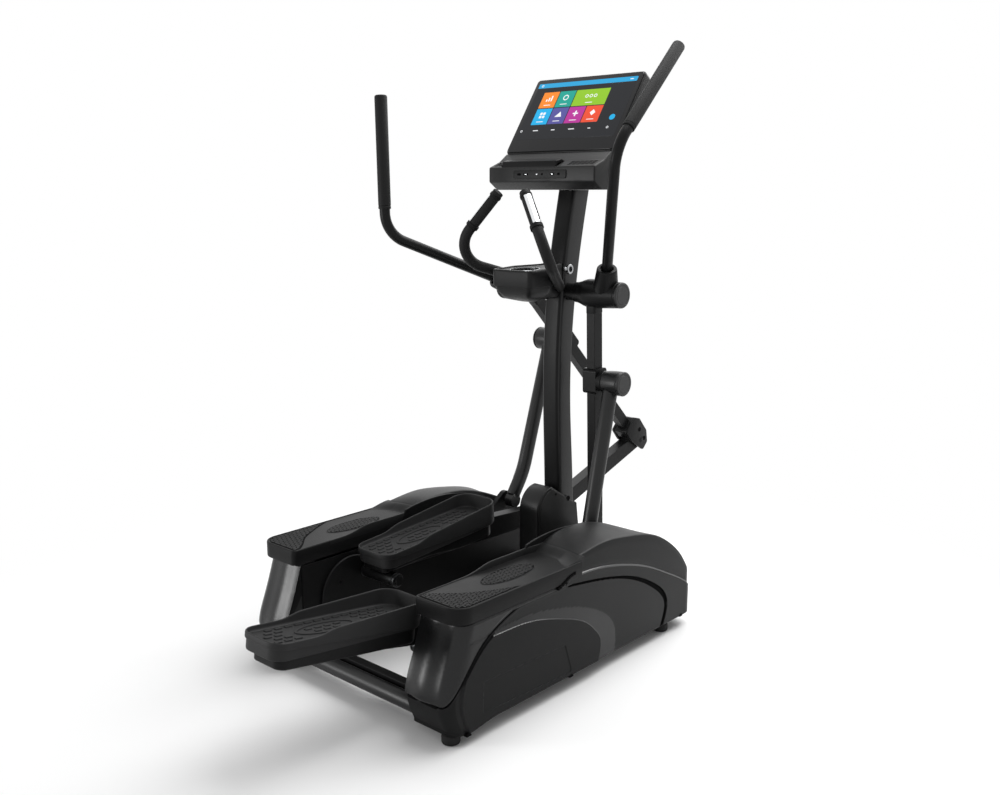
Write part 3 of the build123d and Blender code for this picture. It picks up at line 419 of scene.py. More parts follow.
class Shape:
    """Points and faces of a piece in its own frame, in millimetres."""

    PLANES = {
        "xy": lambda u, v, w: (u, v, w),
        "yz": lambda u, v, w: (w, u, v),
        "xz": lambda u, v, w: (u, w, v),
    }

    def __init__(self):
        self.points, self.faces, self.tints = [], [], []
        self.tint = 0

    def face(self, corners):
        self.faces.append(corners)
        self.tints.append(self.tint)

    def skin(self, rings, ends=True):
        """Quads between closed rings of as many points each; the end rings are filled."""
        base, size = len(self.points), len(rings[0])
        for ring in rings:
            self.points += [Vector(p) for p in ring]
        for near in range(base, base + (len(rings) - 1) * size, size):
            far = near + size
            for j in range(size):
                k = (j + 1) % size
                self.face((near + j, near + k, far + k, far + j))
        if ends:
            last = base + (len(rings) - 1) * size
            self.face(tuple(range(base + size - 1, base - 1, -1)))
            self.face(tuple(range(last, last + size)))
        return self

    def stack(self, outline, rows, ends=True):
        """Rings of one outline, each drawn in by a distance and raised to a height, which may depend on y."""
        rings = []
        for back, level in rows:
            ring = inset(outline, back)
            rings.append([(x, y, level(y) if callable(level) else level) for x, y in ring])
        return self.skin(rings, ends)

    def tube(self, path, radius, sides=24, tip=2.0):
        """A round bar along a path, its two ends eased."""
        rings, start = [], None
        for i, point in enumerate(path):
            before, after = path[max(i - 1, 0)], path[min(i + 1, len(path) - 1)]
            axis = (after - before).normalized()
            eased = [(0, radius)]
            if i == 0:
                eased = [(0, radius - tip), (0.3 * tip, radius - 0.3 * tip), (tip, radius)]
            elif i == len(path) - 1:
                eased = [(-tip, radius), (-0.3 * tip, radius - 0.3 * tip), (0, radius - tip)]
            for along, size in eased:
                ring, start = circle(point + axis * along, axis, size, sides, start)
                rings.append(ring)
        return self.skin(rings)

    def lathe(self, profile, foot=(0, 0, 0), axis=(1, 0, 0), sides=40, ends=True):
        """A turned form: the profile gives distances along the axis and radii."""
        foot, axis = Vector(foot), Vector(axis).normalized()
        rings = [circle(foot + axis * along, axis, max(radius, 0.001), sides)[0] for along, radius in profile]
        return self.skin(rings, ends)

    def sleeve(self, profile, bore, foot=(0, 0, 0), axis=(1, 0, 0), sides=40):
        """A turned form with a bore right through it."""
        start, end = (profile[0][0], bore), (profile[-1][0], bore)
        return self.lathe([start, *profile, end, start], foot, axis, sides, ends=False)

    def slab(self, outline, low, high, edge=1.0, plane="xy", steps=3):
        """A plate of any outline with rounded edges."""
        lift = self.PLANES[plane]
        rings = []
        for k in range(steps + 1):
            turn = 0.5 * pi * k / steps
            rings.append((edge * (1 - sin(turn)), low + edge * (1 - cos(turn))))
        rings += [(back, high + low - level) for back, level in reversed(rings)]
        return self.skin([[lift(u, v, level) for u, v in inset(outline, back)] for back, level in rings])

    def block(self, xs, ys, zs, corner=4.0, edge=1.5, plane="xy"):
        """A box with rounded corners and edges."""
        limits = {"xy": (xs, ys, zs), "yz": (ys, zs, xs), "xz": (xs, zs, ys)}[plane]
        return self.slab(rounded(rectangle(limits[0], limits[1]), corner), *limits[2], edge, plane)

    def brick(self, centre, size, base, rise, taper):
        """A small raised tread block with drafted sides and nipped corners."""
        rings = []
        for level, back in ((base - 0.5, 0.0), (base, 0.0), (base + rise, taper)):
            u, v = size[0] / 2 - back, size[1] / 2 - back
            nip = 0.35 * min(u, v)
            short_u, short_v = u - nip, v - nip
            corners = [(-short_u, -v), (short_u, -v), (u, -short_v), (u, short_v),
                       (short_u, v), (-short_u, v), (-u, short_v), (-u, -short_v)]
            rings.append([(centre[0] + du, centre[1] + dv, level) for du, dv in corners])
        return self.skin(rings)


def place(side="right", at=(0, DRAWING_SHIFT * MM, 0), turn=0.0):
    """From millimetres in a piece's own frame to metres in the machine's frame."""
    mirror = Matrix.Diagonal((-1 if side == "left" else 1, 1, 1, 1))
    return (mirror @ Matrix.Translation((0, at[1], at[2])) @ Matrix.Rotation(radians(turn), 4, "X")
            @ Matrix.Scale(MM, 4))


def lever_place(side):
    return place(side, PIVOTS[f"{side}_lever_swing"], SWING[side])


def arm_place(side):
    return place(side, PIVOTS[f"{side}_pedal_pivot"], PEDAL_TILT[side])


def piece(name, shape, finishes, where, body="base", slot="housing_black", replaces=(), crease=35.0,
          form=None):
    """Makes a piece from its shape, puts it in place and lets it ride on its body."""
    mesh = bpy.data.meshes.new(name)
    mesh.from_pydata(shape.points, [], shape.faces)
    for polygon, index in zip(mesh.polygons, shape.tints):
        polygon.material_index = index
    work = bmesh.new()
    work.from_mesh(mesh)
    bmesh.ops.remove_doubles(work, verts=work.verts, dist=0.002)
    bmesh.ops.recalc_face_normals(work, faces=work.faces)
    if form:
        form(work)
    bmesh.ops.transform(work, matrix=where, verts=work.verts)
    if where.determinant() < 0:
        bmesh.ops.reverse_faces(work, faces=work.faces)
    work.to_mesh(mesh)
    work.free()
    mesh.shade_smooth()
    mesh.set_sharp_from_angle(angle=radians(crease))
    for item in finishes if isinstance(finishes, list) else [finishes]:
        mesh.materials.append(finish(item) if isinstance(item, str) else item)
    made = bpy.data.objects.new(name, mesh)
    bpy.context.scene.collection.objects.link(made)
    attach(made, body)
    if replaces:
        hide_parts(*replaces)
    return made


def stand_in(node, shape, finishes, where, body="base", slot="housing_black", **options):
    """A piece that replaces one CAD node and is named after it."""
    return piece(f"{node}_form", shape, finishes, where, body, slot, [node], **options)


def dress(node, name, edge):
    """Gives a CAD node its finish and eases its hard edges; its own mesh stays as packed."""
    part = frame["nodes"][node]
    for slot in part.material_slots:
        slot.material = finish(name)
    if edge:
        weld = part.modifiers.new("weld", "WELD")
        weld.merge_threshold = 0.01 * MM
        flat = part.modifiers.new("flat", "DECIMATE")
        flat.decimate_type = "DISSOLVE"
        flat.angle_limit = radians(0.5)
        ease = part.modifiers.new("ease", "BEVEL")
        ease.width = edge * MM
        ease.segments = 3
        ease.limit_method = "ANGLE"
        ease.angle_limit = radians(30)
        part.modifiers.new("shade", "WEIGHTED_NORMAL")


class PieceOperator:
    """What the operators share: they are undoable and tell when they are done."""

    bl_options = {"REGISTER", "UNDO"}

    def execute(self, context):
        self.build()
        return {"FINISHED"}


# Carried-over steelwork

class TRAINER_OT_steelwork(PieceOperator, bpy.types.Operator):
    """Finish the levers, clamps, pedal arms, cranks and base frame that stay as packed, and add the feet and
    a tie bar
    """

    bl_idname = "trainer.steelwork"
    bl_label = "Steelwork"

    PAIRED = {
        "lever_tube": ("coat", 3.0), "mid_clamp": ("coat", 2.0), "pedal_arm": ("coat", 3.0),
        "front_crank": ("coat", 2.0), "rear_crank": ("coat", 1.0), "inner_panel": ("band", 1.5),
    }
    SINGLE = {
        # The rear cross tube takes the lighter copy of the coat as painted sheen
        "rear_cross_tube": ("coat_side", 1.0), "front_cross_beam": ("coat", 0.0), "side_rails": ("coat", 0.0),
        "crank_bearings": ("dark_steel", 1.0), "upper_axle": ("coat", 1.0),
    }
    FEET = [(x, y, 0) for x in (-350, 350) for y in (-556, 350)]
    FOOT_PROFILE = [(0, 0), (0, 15), (0.6, 18.5), (2.4, 21.4), (5.5, 23), (19, 23.5), (24, 22.6), (26, 20),
                    (26, 12), (38, 12), (38, 0)]
    TIE_BAR = (-244, 244), (-534, -506), (42, 84)

    def build(self):
        for node, (name, edge) in self.PAIRED.items():
            for side in SIDES:
                dress(f"{node}_{side}", name, edge)
        for node, (name, edge) in self.SINGLE.items():
            dress(node, name, edge)
        feet = Shape()
        for at in self.FEET:
            feet.lathe(self.FOOT_PROFILE, at, (0, 0, 1))
        stand_in("levelling_feet", feet, "rubber", place(), slot="tread_rubber")
        tie = Shape().block(*self.TIE_BAR, 4, 2)
        piece("rear_tie_bar", tie, "band", place(), slot="powder_black")


# Moving handles

class TRAINER_OT_handles(PieceOperator, bpy.types.Operator):
    """Build the swinging handles with their hubs, grips and pivot caps"""

    bl_idname = "trainer.handles"
    bl_label = "Moving handles"

    FOOT = Vector((168, 0, 0))
    BEND = Vector((327, -166, 416))
    TOP = Vector((338, 112, 688))
    BEND_RADIUS = 90.0
    RADIUS = 15.5
    GRIP_RADIUS = 18.5
    GRIP_START = 72.0
    MID_DROP = 262.0
    CAPS = ((226, 0, 37.5), (232, -MID_DROP, 36.5))

    def handle(self):
        axis = (self.BEND - self.FOOT).normalized()
        path = bent([self.FOOT + axis * 42, self.BEND, self.TOP], self.BEND_RADIUS, 16)
        return Shape().tube(path, self.RADIUS, 28)

    def grip(self):
        """The sleeve, with a groove near its lower end and a domed top."""
        axis = (self.TOP - self.BEND).normalized()
        start = self.BEND + axis * self.GRIP_START
        reach = (self.TOP - start).length + 5
        r = self.GRIP_RADIUS
        profile = [(0, 15.6), (0, r - 0.8), (1.5, r), (7, r), (8, r - 0.9), (9.5, r - 0.9), (10.5, r),
                   (reach - 6, r), (reach - 2.5, r - 1.2), (reach - 0.6, r - 4), (reach, r - 8), (reach, 0)]
        return Shape().lathe(profile, start, axis, 32)

    def hub(self):
        """The hub's flared shell, the lever's socket, the middle stub's collar and the handle's boss."""
        neck = [(66 + 50 * t, 30.5 + 12 * smooth(0, 1, t)) for t in np.linspace(0, 1, 11)]
        end = [(150, 42.5), (190, 40), (218, 38), (219.2, 36.6), (221.4, 36.6), (222.6, 38), (226, 38)]
        hub = Shape().sleeve([(62, 28.5), (63.5, 30), *neck, *end], 15.2, sides=48)
        hub.block((111, 145), (-21, 21), (-58, 0), 6, 1.5)
        collar = [(152.2, 29), (153.5, 31), (160, 32), (169.5, 32.8), (171, 31.5)]
        hub.sleeve(collar, 23.2, (0, 0, -self.MID_DROP), sides=48)
        boss = [(0, 36), (34, 36), (60, 33), (86, 30), (90, 29), (92, 27), (92, 20), (84, 18.5), (84, 15.4)]
        return hub.lathe(boss, self.FOOT, (self.BEND - self.FOOT).normalized(), 40)

    def caps(self):
        caps = Shape()
        for x, z, r in self.CAPS:
            profile = [(0, r), (3.2, r), (4.9, r - 1.0), (5.7, r - 2.8), (6, r - 4.5), (6, r - 8),
                       (5.2, r - 8.6), (5.2, r - 9.8), (6, r - 10.4), (6, 0)]
            caps.lathe(profile, (x, 0, z), sides=48)
        return caps

    def build(self):
        for side in SIDES:
            for name, shape, material, slot in (
                ("handlebar", self.handle(), "coat", "powder_black"),
                ("hand_grip", self.grip(), "grip", "grip_rubber"),
                ("lever_hub", self.hub(), "coat", "powder_black"),
                ("pivot_caps", self.caps(), "cap", "housing_black"),
            ):
                stand_in(f"{name}_{side}", shape, material, lever_place(side), f"{side}_lever", slot)


# Drive rods, knuckles and rollers

class TRAINER_OT_linkage(PieceOperator, bpy.types.Operator):
    """Build the drive rods, the knuckles at the levers' feet and the rollers"""

    bl_idname = "trainer.linkage"
    bl_label = "Linkage"

    LEAN = {"right": 15.85, "left": 20.56}
    ROD_X, ROD_LENGTH, ROD_RADIUS = 191.0, 547.0, 22.4
    BENDS = (2.8, 12.0)
    BEND_RADIUS = 260.0
    FLAT_X = 203.0
    PIVOT_DROP = 833.0
    CHEEK = rounded([(-38, 46), (-18, -36), (19, -36.5), (46, 0), (50, 66), (32, 96), (-34, 96)],
                    [10, 8, 12, 12, 10, 8, 8], 4)
    YOKE = rounded([(-34, 57), (48, 57), (48, 68), (31, 94), (-33, 94)], [2, 2, 8, 8, 6], 4)
    CHEEKS = ((94.0, 106.0), (150.0, 162.0))
    BOLTS = ((20.0, 39.0), (15.0, -8.0))

    def rod(self):
        """The bent rod, flattened where it passes its crank, with an eye at each end."""
        upper, lower = (radians(angle) for angle in self.BENDS)
        run = self.ROD_LENGTH * sin(lower) / sin(upper + lower)
        corner = Vector((self.ROD_X, run * sin(upper), -run * cos(upper)))
        ends = Vector((self.ROD_X, 0, -10)), Vector((self.ROD_X, 0, 14 - self.ROD_LENGTH))
        rod = Shape().tube(bent([ends[0], corner, ends[1]], self.BEND_RADIUS, 14), self.ROD_RADIUS, 28)
        for point in rod.points:
            if point.z < 70 - self.ROD_LENGTH:
                point.x = min(point.x, self.FLAT_X)
        upper_eye = [(172, 31.5), (173.5, 33), (186, 34.6), (204, 36), (224, 36.5), (229, 36), (231.5, 34.5)]
        rod.sleeve(upper_eye, 14.4, sides=48)
        lower_eye = [(172, 15), (172, 21.5), (174, 23), (201, 23), (203, 21.5), (203, 15)]
        return rod.lathe(lower_eye, (0, 0, -self.ROD_LENGTH), sides=36)

    def knuckle(self):
        """Two cheeks on a yoke, with the pin and the dark heads of the bolts."""
        cheek, yoke = ([(y, z - self.PIVOT_DROP) for y, z in outline] for outline in (self.CHEEK, self.YOKE))
        knuckle = Shape()
        for low, high in self.CHEEKS:
            knuckle.slab(cheek, low, high, 3.5, "yz", 3)
        knuckle.slab(yoke, 103, 153, 1, "yz")
        pin = [(92.8, 0), (92.8, 9), (93.6, 11), (94.5, 12), (161.5, 12), (162.4, 11), (163.2, 9), (163.2, 0)]
        knuckle.lathe(pin, (0, 0, -self.PIVOT_DROP), sides=32)
        knuckle.tint = 1
        head = [(-1, 8), (0.5, 8), (0.9, 7.4), (0.9, 6.4), (0.2, 5.8), (0.2, 0)]
        for face, way in ((self.CHEEKS[0][0], -1), (self.CHEEKS[1][1], 1)):
            for y, z in self.BOLTS:
                knuckle.lathe(head, (face, y, z - self.PIVOT_DROP), (way, 0, 0), 24)
        return knuckle

    def roller(self):
        grooved = [(84, 17.5), (85.2, 19.6), (86.5, 20), (90, 20), (90.8, 18.2), (93.2, 18.2), (94, 20)]
        profile = grooved + [(308 - x, r) for x, r in reversed(grooved)]
        return Shape().sleeve(profile, 9.3, sides=40)

    def build(self):
        for side in SIDES:
            leaning = place(side, PIVOTS[f"{side}_rod_pivot"], -self.LEAN[side])
            # The drive rods take the lighter copy of the coat as painted sheen
            stand_in(f"drive_rod_{side}", self.rod(), "coat_side", leaning, f"{side}_rod", "powder_black")
            piece(f"knuckle_{side}_form", self.knuckle(), ["coat", "hollow"], lever_place(side),
                  f"{side}_lever", "powder_black", [f"knuckle_{side}", f"knuckle_pin_{side}"])
            on_pin = place(side, PIVOTS[f"{side}_roller_spin"])
            stand_in(f"roller_{side}", self.roller(), "dark_steel", on_pin, f"{side}_roller", "steel")


# Fixed handles

class TRAINER_OT_fixed_handles(PieceOperator, bpy.types.Operator):
    """Build the fixed handles with their pulse sensors and collars"""

    bl_idname = "trainer.fixed_handles"
    bl_label = "Fixed handles"

    TOP = Vector((49, 58, 1312))
    BEND = Vector((192, -6, 1124))
    END = Vector((3, 280, 1022))
    RADIUS = 16.0
    PLATE = (20.0, 118.0)
    PLATE_TURN = radians(-10)
    PLATE_REACH = 68.0
    COLLARS = ((PLATE[0] - 9, 9, 1.8), (PLATE[1], 13, 3.2))

    def plate(self, axis):
        """A polished shell over the handle's outer side."""
        out = Vector((cos(self.PLATE_TURN), sin(self.PLATE_TURN), 0))
        out = (out - axis * out.dot(axis)).normalized()
        over = axis.cross(out)
        near, far = self.PLATE
        fan = [radians(a) for a in np.linspace(-self.PLATE_REACH, self.PLATE_REACH, 23)]
        rings = []
        for along, swell in ((near, 0.2), (near + 1, 1.5), (far - 1, 1.5), (far, 0.2)):
            centre = self.TOP + axis * along
            arc = [centre + (out * cos(t) + over * sin(t)) * (self.RADIUS + swell) for t in fan]
            back = [centre + (out * cos(t) + over * sin(t)) * (self.RADIUS - 1) for t in reversed(fan)]
            rings.append(arc + back)
        return Shape().skin(rings)

    def build(self):
        axis = (self.BEND - self.TOP).normalized()
        r = self.RADIUS
        for side in SIDES:
            where = place(side)
            tube = Shape().tube(bent([self.TOP, self.BEND, self.END], 78, 16), r, 28)
            stand_in(f"fixed_handle_{side}", tube, "grip", where, slot="powder_black")
            plates = piece(f"sensor_plates_{side}", self.plate(axis), "plate", where, slot="sensor_metal")
            if side == "right":
                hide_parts("pulse_sensors")
            collars = Shape()
            for along, width, swell in self.COLLARS:
                profile = [(0, r), (0.8, r + swell), (width - 1.5, r + swell), (width, r + 0.6)]
                collars.sleeve(profile, r - 0.5, self.TOP + axis * along, axis, 36)
            piece(f"sensor_collars_{side}", collars, "band", where, slot="grip_rubber")


# Side housings

HOUSING_INNER = 243.0
HOUSING_OUTER = 396.0
HOUSING_FRONT = 478.0
HOUSING_BOTTOM = 38.0
HOUSING_CORNER = 48.0
HOUSING_DIP = 12.0
SKIRT_TOP = 106.0
DECK_TOP = 350.0
BAND_BOTTOM = 307.0
REAR_PROFILE = spline([(-585, 38), (-607, 104), (-582, 200), (-548, 300)], 60)
SEAM = spline([(-355, 294), (-486, 234), (-578, 140), (-620, 106)], 80)[::-1]
RIDGE_REAR = -139
RIDGE = spline([(478, 112), (427, 149), (329, 201), (228, 248), (133, 280), (42, 302), (-43, 314),
                (RIDGE_REAR, 317)], 120)[::-1]
PANEL_TOP = np.concatenate([SEAM, [(-340, 297), (-165, 297)], RIDGE])
CROWN = spline([(-88, 367), (-60, 377), (-20, 384), (60, 385), (113, 378), (199, 353), (290, 314), (344, 284),
                (387, 251), (430, 206), (455, 167), (474, 122)], 90)
SHOULDER = spline([(-99, 360), (-50, 366), (29, 371), (118, 361), (211, 344), (276, 324), (344, 287),
                   (387, 255), (430, 208), (455, 168), (474, 122)], 120)
GROOVE = spline([(-150, 294), (69, 257), (251, 181), (319, 105), (296, 34), (290, 20)], 90)
WAVE_INNER = spline([(-600, 257), (-506, 256), (-430, 254), (-351, 252), (-278, 242), (-202, 221),
                     (-123, 194), (-78, 171), (-38, 137), (-15, 107), (-14, 70), (-30, 20)], 120)
WAVE_OUTER = spline([(-600, 262), (-430, 264), (-279, 263), (-203, 249), (-123, 230), (-40, 199), (30, 155),
                     (61, 112), (66, 73), (60, 20)], 120)
BARE_PLATE = rounded([(-490, 66), (-140, 52), (-170, 138), (-486, 148)], 8, 4)
NOTCHES = (-539.0, -143.0, 405.0)


def wall_point(u, z, back):
    """A point on the housing's outside: u goes round from the rear's inner end to the front's."""
    rear = read_off(REAR_PROFILE, z, 1)
    outer, corner = HOUSING_OUTER - HOUSING_CORNER, HOUSING_CORNER - back
    part, share = min(int(u), 4), u - min(int(u), 4)
    if part == 0:
        return HOUSING_INNER + (outer - HOUSING_INNER) * share, rear + back, z
    if part == 1:
        turn = share * pi / 2
        return outer + corner * sin(turn), rear + HOUSING_CORNER - corner * cos(turn), z
    if part == 2:
        start, end = rear + HOUSING_CORNER, HOUSING_FRONT - HOUSING_CORNER
        return HOUSING_OUTER - back, start + (end - start) * share, z
    if part == 3:
        turn = share * pi / 2
        return outer + corner * cos(turn), HOUSING_FRONT - HOUSING_CORNER + corner * sin(turn), z
    return outer + (HOUSING_INNER - outer) * share, HOUSING_FRONT - back, z


def panel_top(u, back):
    """Height of the side panel's upper edge at a place round the wall."""
    z = 150.0
    for _ in range(8):
        z = read_off(PANEL_TOP, wall_point(max(u, 2.0), z, back)[1])
    return z if u >= 2 else SKIRT_TOP + (z - SKIRT_TOP) * max(0.0, (u - 1.15) / 0.85) ** 2


def panel_bottom(y):
    """Height of the side panel's lower edge, which dips towards the rear."""
    return HOUSING_BOTTOM - HOUSING_DIP * smooth(-430, -560, y)


class TRAINER_OT_housings(PieceOperator, bpy.types.Operator):
    """Build the side panels with their waves, the front humps and the rear pillars"""

    bl_idname = "trainer.housings"
    bl_label = "Side housings"

    # Panel finishes: plain, painted shade in the groove, painted shade on the plateau and on faces that look
    # rearwards, painted sheen between the waves, painted highlight on the wave's step and the ridge
    ZONES = ["shell", "hollow", "shell_low", "shell_high", "shell_edge"]
    PLAIN, HOLLOW, LOW, HIGH, EDGE = range(5)
    FACE_BACK = 8.0
    WALL = 14.0
    RAMP, STEP, PLATE_SINK = 4.8, 2.6, 1.6
    REFINE = (8, 4.5)
    GROOVE_HALF, GROOVE_DEPTH = ((60.0, 290.0), (3.6, 8.5)), 5.2
    HUMP_EDGE = 379.0
    HUMP_REAR = [(-96, 352), (-95, 360), (-92.5, 364)]
    RIDGE_FROM = 2.41
    BULGE = 6.0
    SLOTS = ((246.0, 280.0), (292.0, 347.0))
    STRIP = spline([(-126, 326), (-152, 321), (-173, 311), (-200, 300)], 24)
    STRIP_HALF, STRIP_RIBS, STRIP_BACK = 3.4, (392.8, 394.6), 380.0
    SLIT_DEPTH = (-600.6, -590.0)
    NOTCH_HALF, NOTCH_RISE = 8, 9

    def panel(self):
        stations = [*np.linspace(0, 1, 16)[:-1], *np.linspace(1, 2, 17)[:-1], *np.linspace(2, 3, 216)[:-1],
                    *np.linspace(3, 4, 13)[:-1], *np.linspace(4, 5, 14)]
        rings = []
        back, wall = self.FACE_BACK, self.WALL
        seam_edge = [(-4.2, 0), (-3.2, -0.3), (-2.2, -0.4), (-1.3, -0.2), (-0.5, 0.4), (0, 1.2)]
        ridge_edge = [(-7.4, 0), (-6.6, 0), (-5.8, 0.3), (-3.2, 2.6), (-0.7, 5.0), (0, 6.2)]
        for u in stations:
            top = panel_top(u, back)
            low = panel_bottom(wall_point(u, HOUSING_BOTTOM, back)[1])
            rows = [(low, wall), (low, back + 4), (low + 0.5, back + 1.6), (low + 2, back + 0.4)]
            rows += [(z, back) for z in np.linspace(low + 5, top - 10, 56)]
            edge = ridge_edge if u >= self.RIDGE_FROM else seam_edge
            rows += [(top + rise, back + out) for rise, out in edge]
            rows += [(top, wall), ((top + low) / 2, wall)]
            rings.append([wall_point(u, z, b) for z, b in rows])
        return Shape().skin(rings)

    def relief(self, work):
        """Raises the low wave and sinks the groove and the bare plate into the panel's side; paints light and
        shade onto its faces.
        """
        face_x = HOUSING_OUTER - self.FACE_BACK
        plate = closed(BARE_PLATE)

        def on_face():
            return [v for v in work.verts if abs(v.co.x - face_x) < 0.01]

        def spots(verts):
            return np.array([(v.co.y, v.co.z) for v in verts])

        def from_groove(where):
            return np.abs(offsets(where, GROOVE)), np.interp(where[:, 0], *self.GROOVE_HALF)

        for reach in self.REFINE:
            near = on_face()
            where = spots(near)
            aside, half = from_groove(where)
            gaps = [np.abs(aside - half), np.abs(offsets(where, WAVE_INNER)), np.abs(offsets(where, plate))]
            chosen = {v for v, gap in zip(near, np.min(gaps, axis=0)) if gap < reach}
            edges = [e for e in work.edges if e.verts[0] in chosen and e.verts[1] in chosen]
            bmesh.ops.subdivide_edges(work, edges=edges, cuts=1, use_grid_fill=True)
        work.normal_update()
        # The ridge's upward-facing edge gets a painted highlight
        ridge = {f for f in work.faces
                 if min(f.normal.x, f.normal.z) > 0.3 and f.calc_center_median().y > RIDGE_REAR}
        verts = on_face()
        sunk = {face for vert in verts for face in vert.link_faces}
        where = spots(verts)
        inner, outer = offsets(where, WAVE_INNER), offsets(where, WAVE_OUTER)
        share = np.clip(inner / np.maximum(inner - outer, 0.001), 0, 1)
        swell = np.where(inner < 0, self.RAMP, np.where(outer > 0, 0.0, self.RAMP * (1 - share)))
        swell = swell + self.STEP * smooth(-0.4, 1.5, -inner)
        aside, half = from_groove(where)
        sink = self.GROOVE_DEPTH * (1 - smooth(half - 1.4, half, aside))
        sink = np.maximum(sink, self.PLATE_SINK * smooth(0.2, 1.6, offsets(where, plate)))
        for vert, out in zip(verts, swell - sink):
            vert.co.x += out
        # Painted light and shade by zone: the groove near-black, the plateau inside the low wave darker, its
        # step a painted highlight, the band between the waves a lighter painted sheen
        zone = np.select([aside < half, inner < -1.3, inner < 0.5, outer < 0],
                         [self.HOLLOW, self.LOW, self.EDGE, self.HIGH], self.PLAIN)
        zones = dict(zip(verts, zone.tolist()))
        for face in work.faces:
            found = [zones.get(v, self.PLAIN) for v in face.verts]
            face.material_index = self.EDGE if face in ridge else max(set(found), key=found.count)
            # Faces that look rearwards get the darker copy: painted shade
            if face.normal.y < -0.35 and face not in sunk:
                face.material_index = self.LOW

    def hump(self):
        """The front hump: domed across, with a crisp shoulder over a plain side."""
        rings = []
        outer, corner = HOUSING_OUTER - 12, HOUSING_CORNER - 12
        for y, crown in [*self.HUMP_REAR, *CROWN]:
            shoulder = read_off(SHOULDER, y) if y >= CROWN[0][0] else crown - 3
            ridge = min(read_off(PANEL_TOP, y) - 4, shoulder - 3)
            past = max(0.0, min(y - (HOUSING_FRONT - HOUSING_CORNER), corner - 0.5))
            side = outer - corner + (corner ** 2 - past ** 2) ** 0.5
            edge = min(self.HUMP_EDGE, side - 1)
            foot = min(crown - 34, BAND_BOTTOM - 8)
            section = [(HOUSING_INNER, foot), (HOUSING_INNER, crown - 4), (HOUSING_INNER + 1.5, crown - 1.4),
                       (HOUSING_INNER + 5, crown)]
            for t in np.linspace(0, 1, 13)[1:]:
                section.append((HOUSING_INNER + 5 + (edge - 6 - HOUSING_INNER - 5) * t,
                                crown + (shoulder + 1.6 - crown) * t ** 2.4))
            section += [(edge - 3.2, shoulder + 0.9), (edge - 1.0, shoulder - 0.6),
                        (edge + 0.4, shoulder - 3)]
            section += [(edge + 0.4 + (side - edge - 0.4) * t, shoulder - 3 + (ridge - shoulder + 3) * t)
                        for t in (0.25, 0.5, 0.75, 1)]
            section += [(side - 8, ridge - 14), (HOUSING_INNER + 6, min(foot - 2, ridge - 14))]
            rings.append([(x, y, z) for x, z in section])
        return Shape().skin(rings)

    def pillar(self):
        """The rear pillar: a bright shoulder under the deck's band and a low wave on its side."""
        stations = [*np.linspace(0, 1, 14)[:-1], *np.linspace(1, 2, 21)[:-1], *np.linspace(2, 2.42, 70)]
        rings = []
        for u in stations:
            low = min(panel_top(u, self.FACE_BACK) + 4, BAND_BOTTOM - 14)
            wave = 1.8 * smooth(1.7, 2.0, u)
            face = 3.4 + 2.6 * smooth(1.2, 2.0, u) - self.BULGE * sin(pi * min(u, 1.0)) ** 2
            rows = [(low, self.WALL + 4), (low, face + 5.6), (low + 1, face + 3.4), (low + 3.5, face + 2)]
            heights = [*np.linspace(low + 6, BAND_BOTTOM - 9, 44)]
            rows += [(z, face + 1.6 * smooth(12, 0, z - low) + wave * smooth(254, 258, z)) for z in heights]
            rows += [(BAND_BOTTOM - 6.5, face + 0.8 + wave), (BAND_BOTTOM - 4, face + 2.8 + wave),
                     (BAND_BOTTOM - 1, face + 6.6), (BAND_BOTTOM, face + 8.6), (BAND_BOTTOM, self.WALL + 8),
                     ((BAND_BOTTOM + low) / 2, self.WALL + 7)]
            rings.append([wall_point(u, z, b) for z, b in rows])
        pillar = Shape().skin(rings)
        cheek = [(y + 4, z) for y, z in REAR_PROFILE if z > SKIRT_TOP + 4]
        cheek += [(-540, BAND_BOTTOM), (-490, BAND_BOTTOM), (-490, 112)]
        return pillar.slab(cheek, 240, 246, 1, "yz")

    def trims(self):
        """The ribbed strip where the deck's band meets the ridge, and the skirt's notches and slits,
        near-black as painted shade.
        """
        trims = Shape()
        turn = np.gradient(self.STRIP, axis=0)
        turn /= np.linalg.norm(turn, axis=1)[:, None]
        across = np.stack([-turn[:, 1], turn[:, 0]], 1) * self.STRIP_HALF
        rings = []
        for k, (point, side) in enumerate(zip(self.STRIP, across)):
            (ya, za), (yb, zb) = point + side, point - side
            out, back = self.STRIP_RIBS[k % 3 > 0], self.STRIP_BACK
            rings.append([(out, ya, za), (out, yb, zb), (back, yb, zb), (back, ya, za)])
        trims.skin(rings)
        for y in NOTCHES:
            arch = [(y + self.NOTCH_HALF * cos(a), panel_bottom(y) - 0.5 + self.NOTCH_RISE * sin(a))
                    for a in np.linspace(0, pi, 13)]
            trims.slab(arch, self.STRIP_BACK, 389.0 if y > -100 else 395.8, 0.2, "yz", 1)
        for slot in self.SLOTS:
            trims.block(slot, self.SLIT_DEPTH, (SKIRT_TOP - 4, SKIRT_TOP + 3.5), 3, 0.6, "xz")
        return trims

    def build(self):
        for side in SIDES:
            where = place(side)
            stand_in(f"side_panel_{side}", self.panel(), self.ZONES, where, crease=40, form=self.relief)
            stand_in(f"hump_{side}", self.hump(), "shell", where, crease=50)
            stand_in(f"rear_body_{side}", self.pillar(), "pillar", where, slot="pillar_black", crease=45)
            piece(f"housing_trims_{side}", self.trims(), "hollow", where)


# Step decks

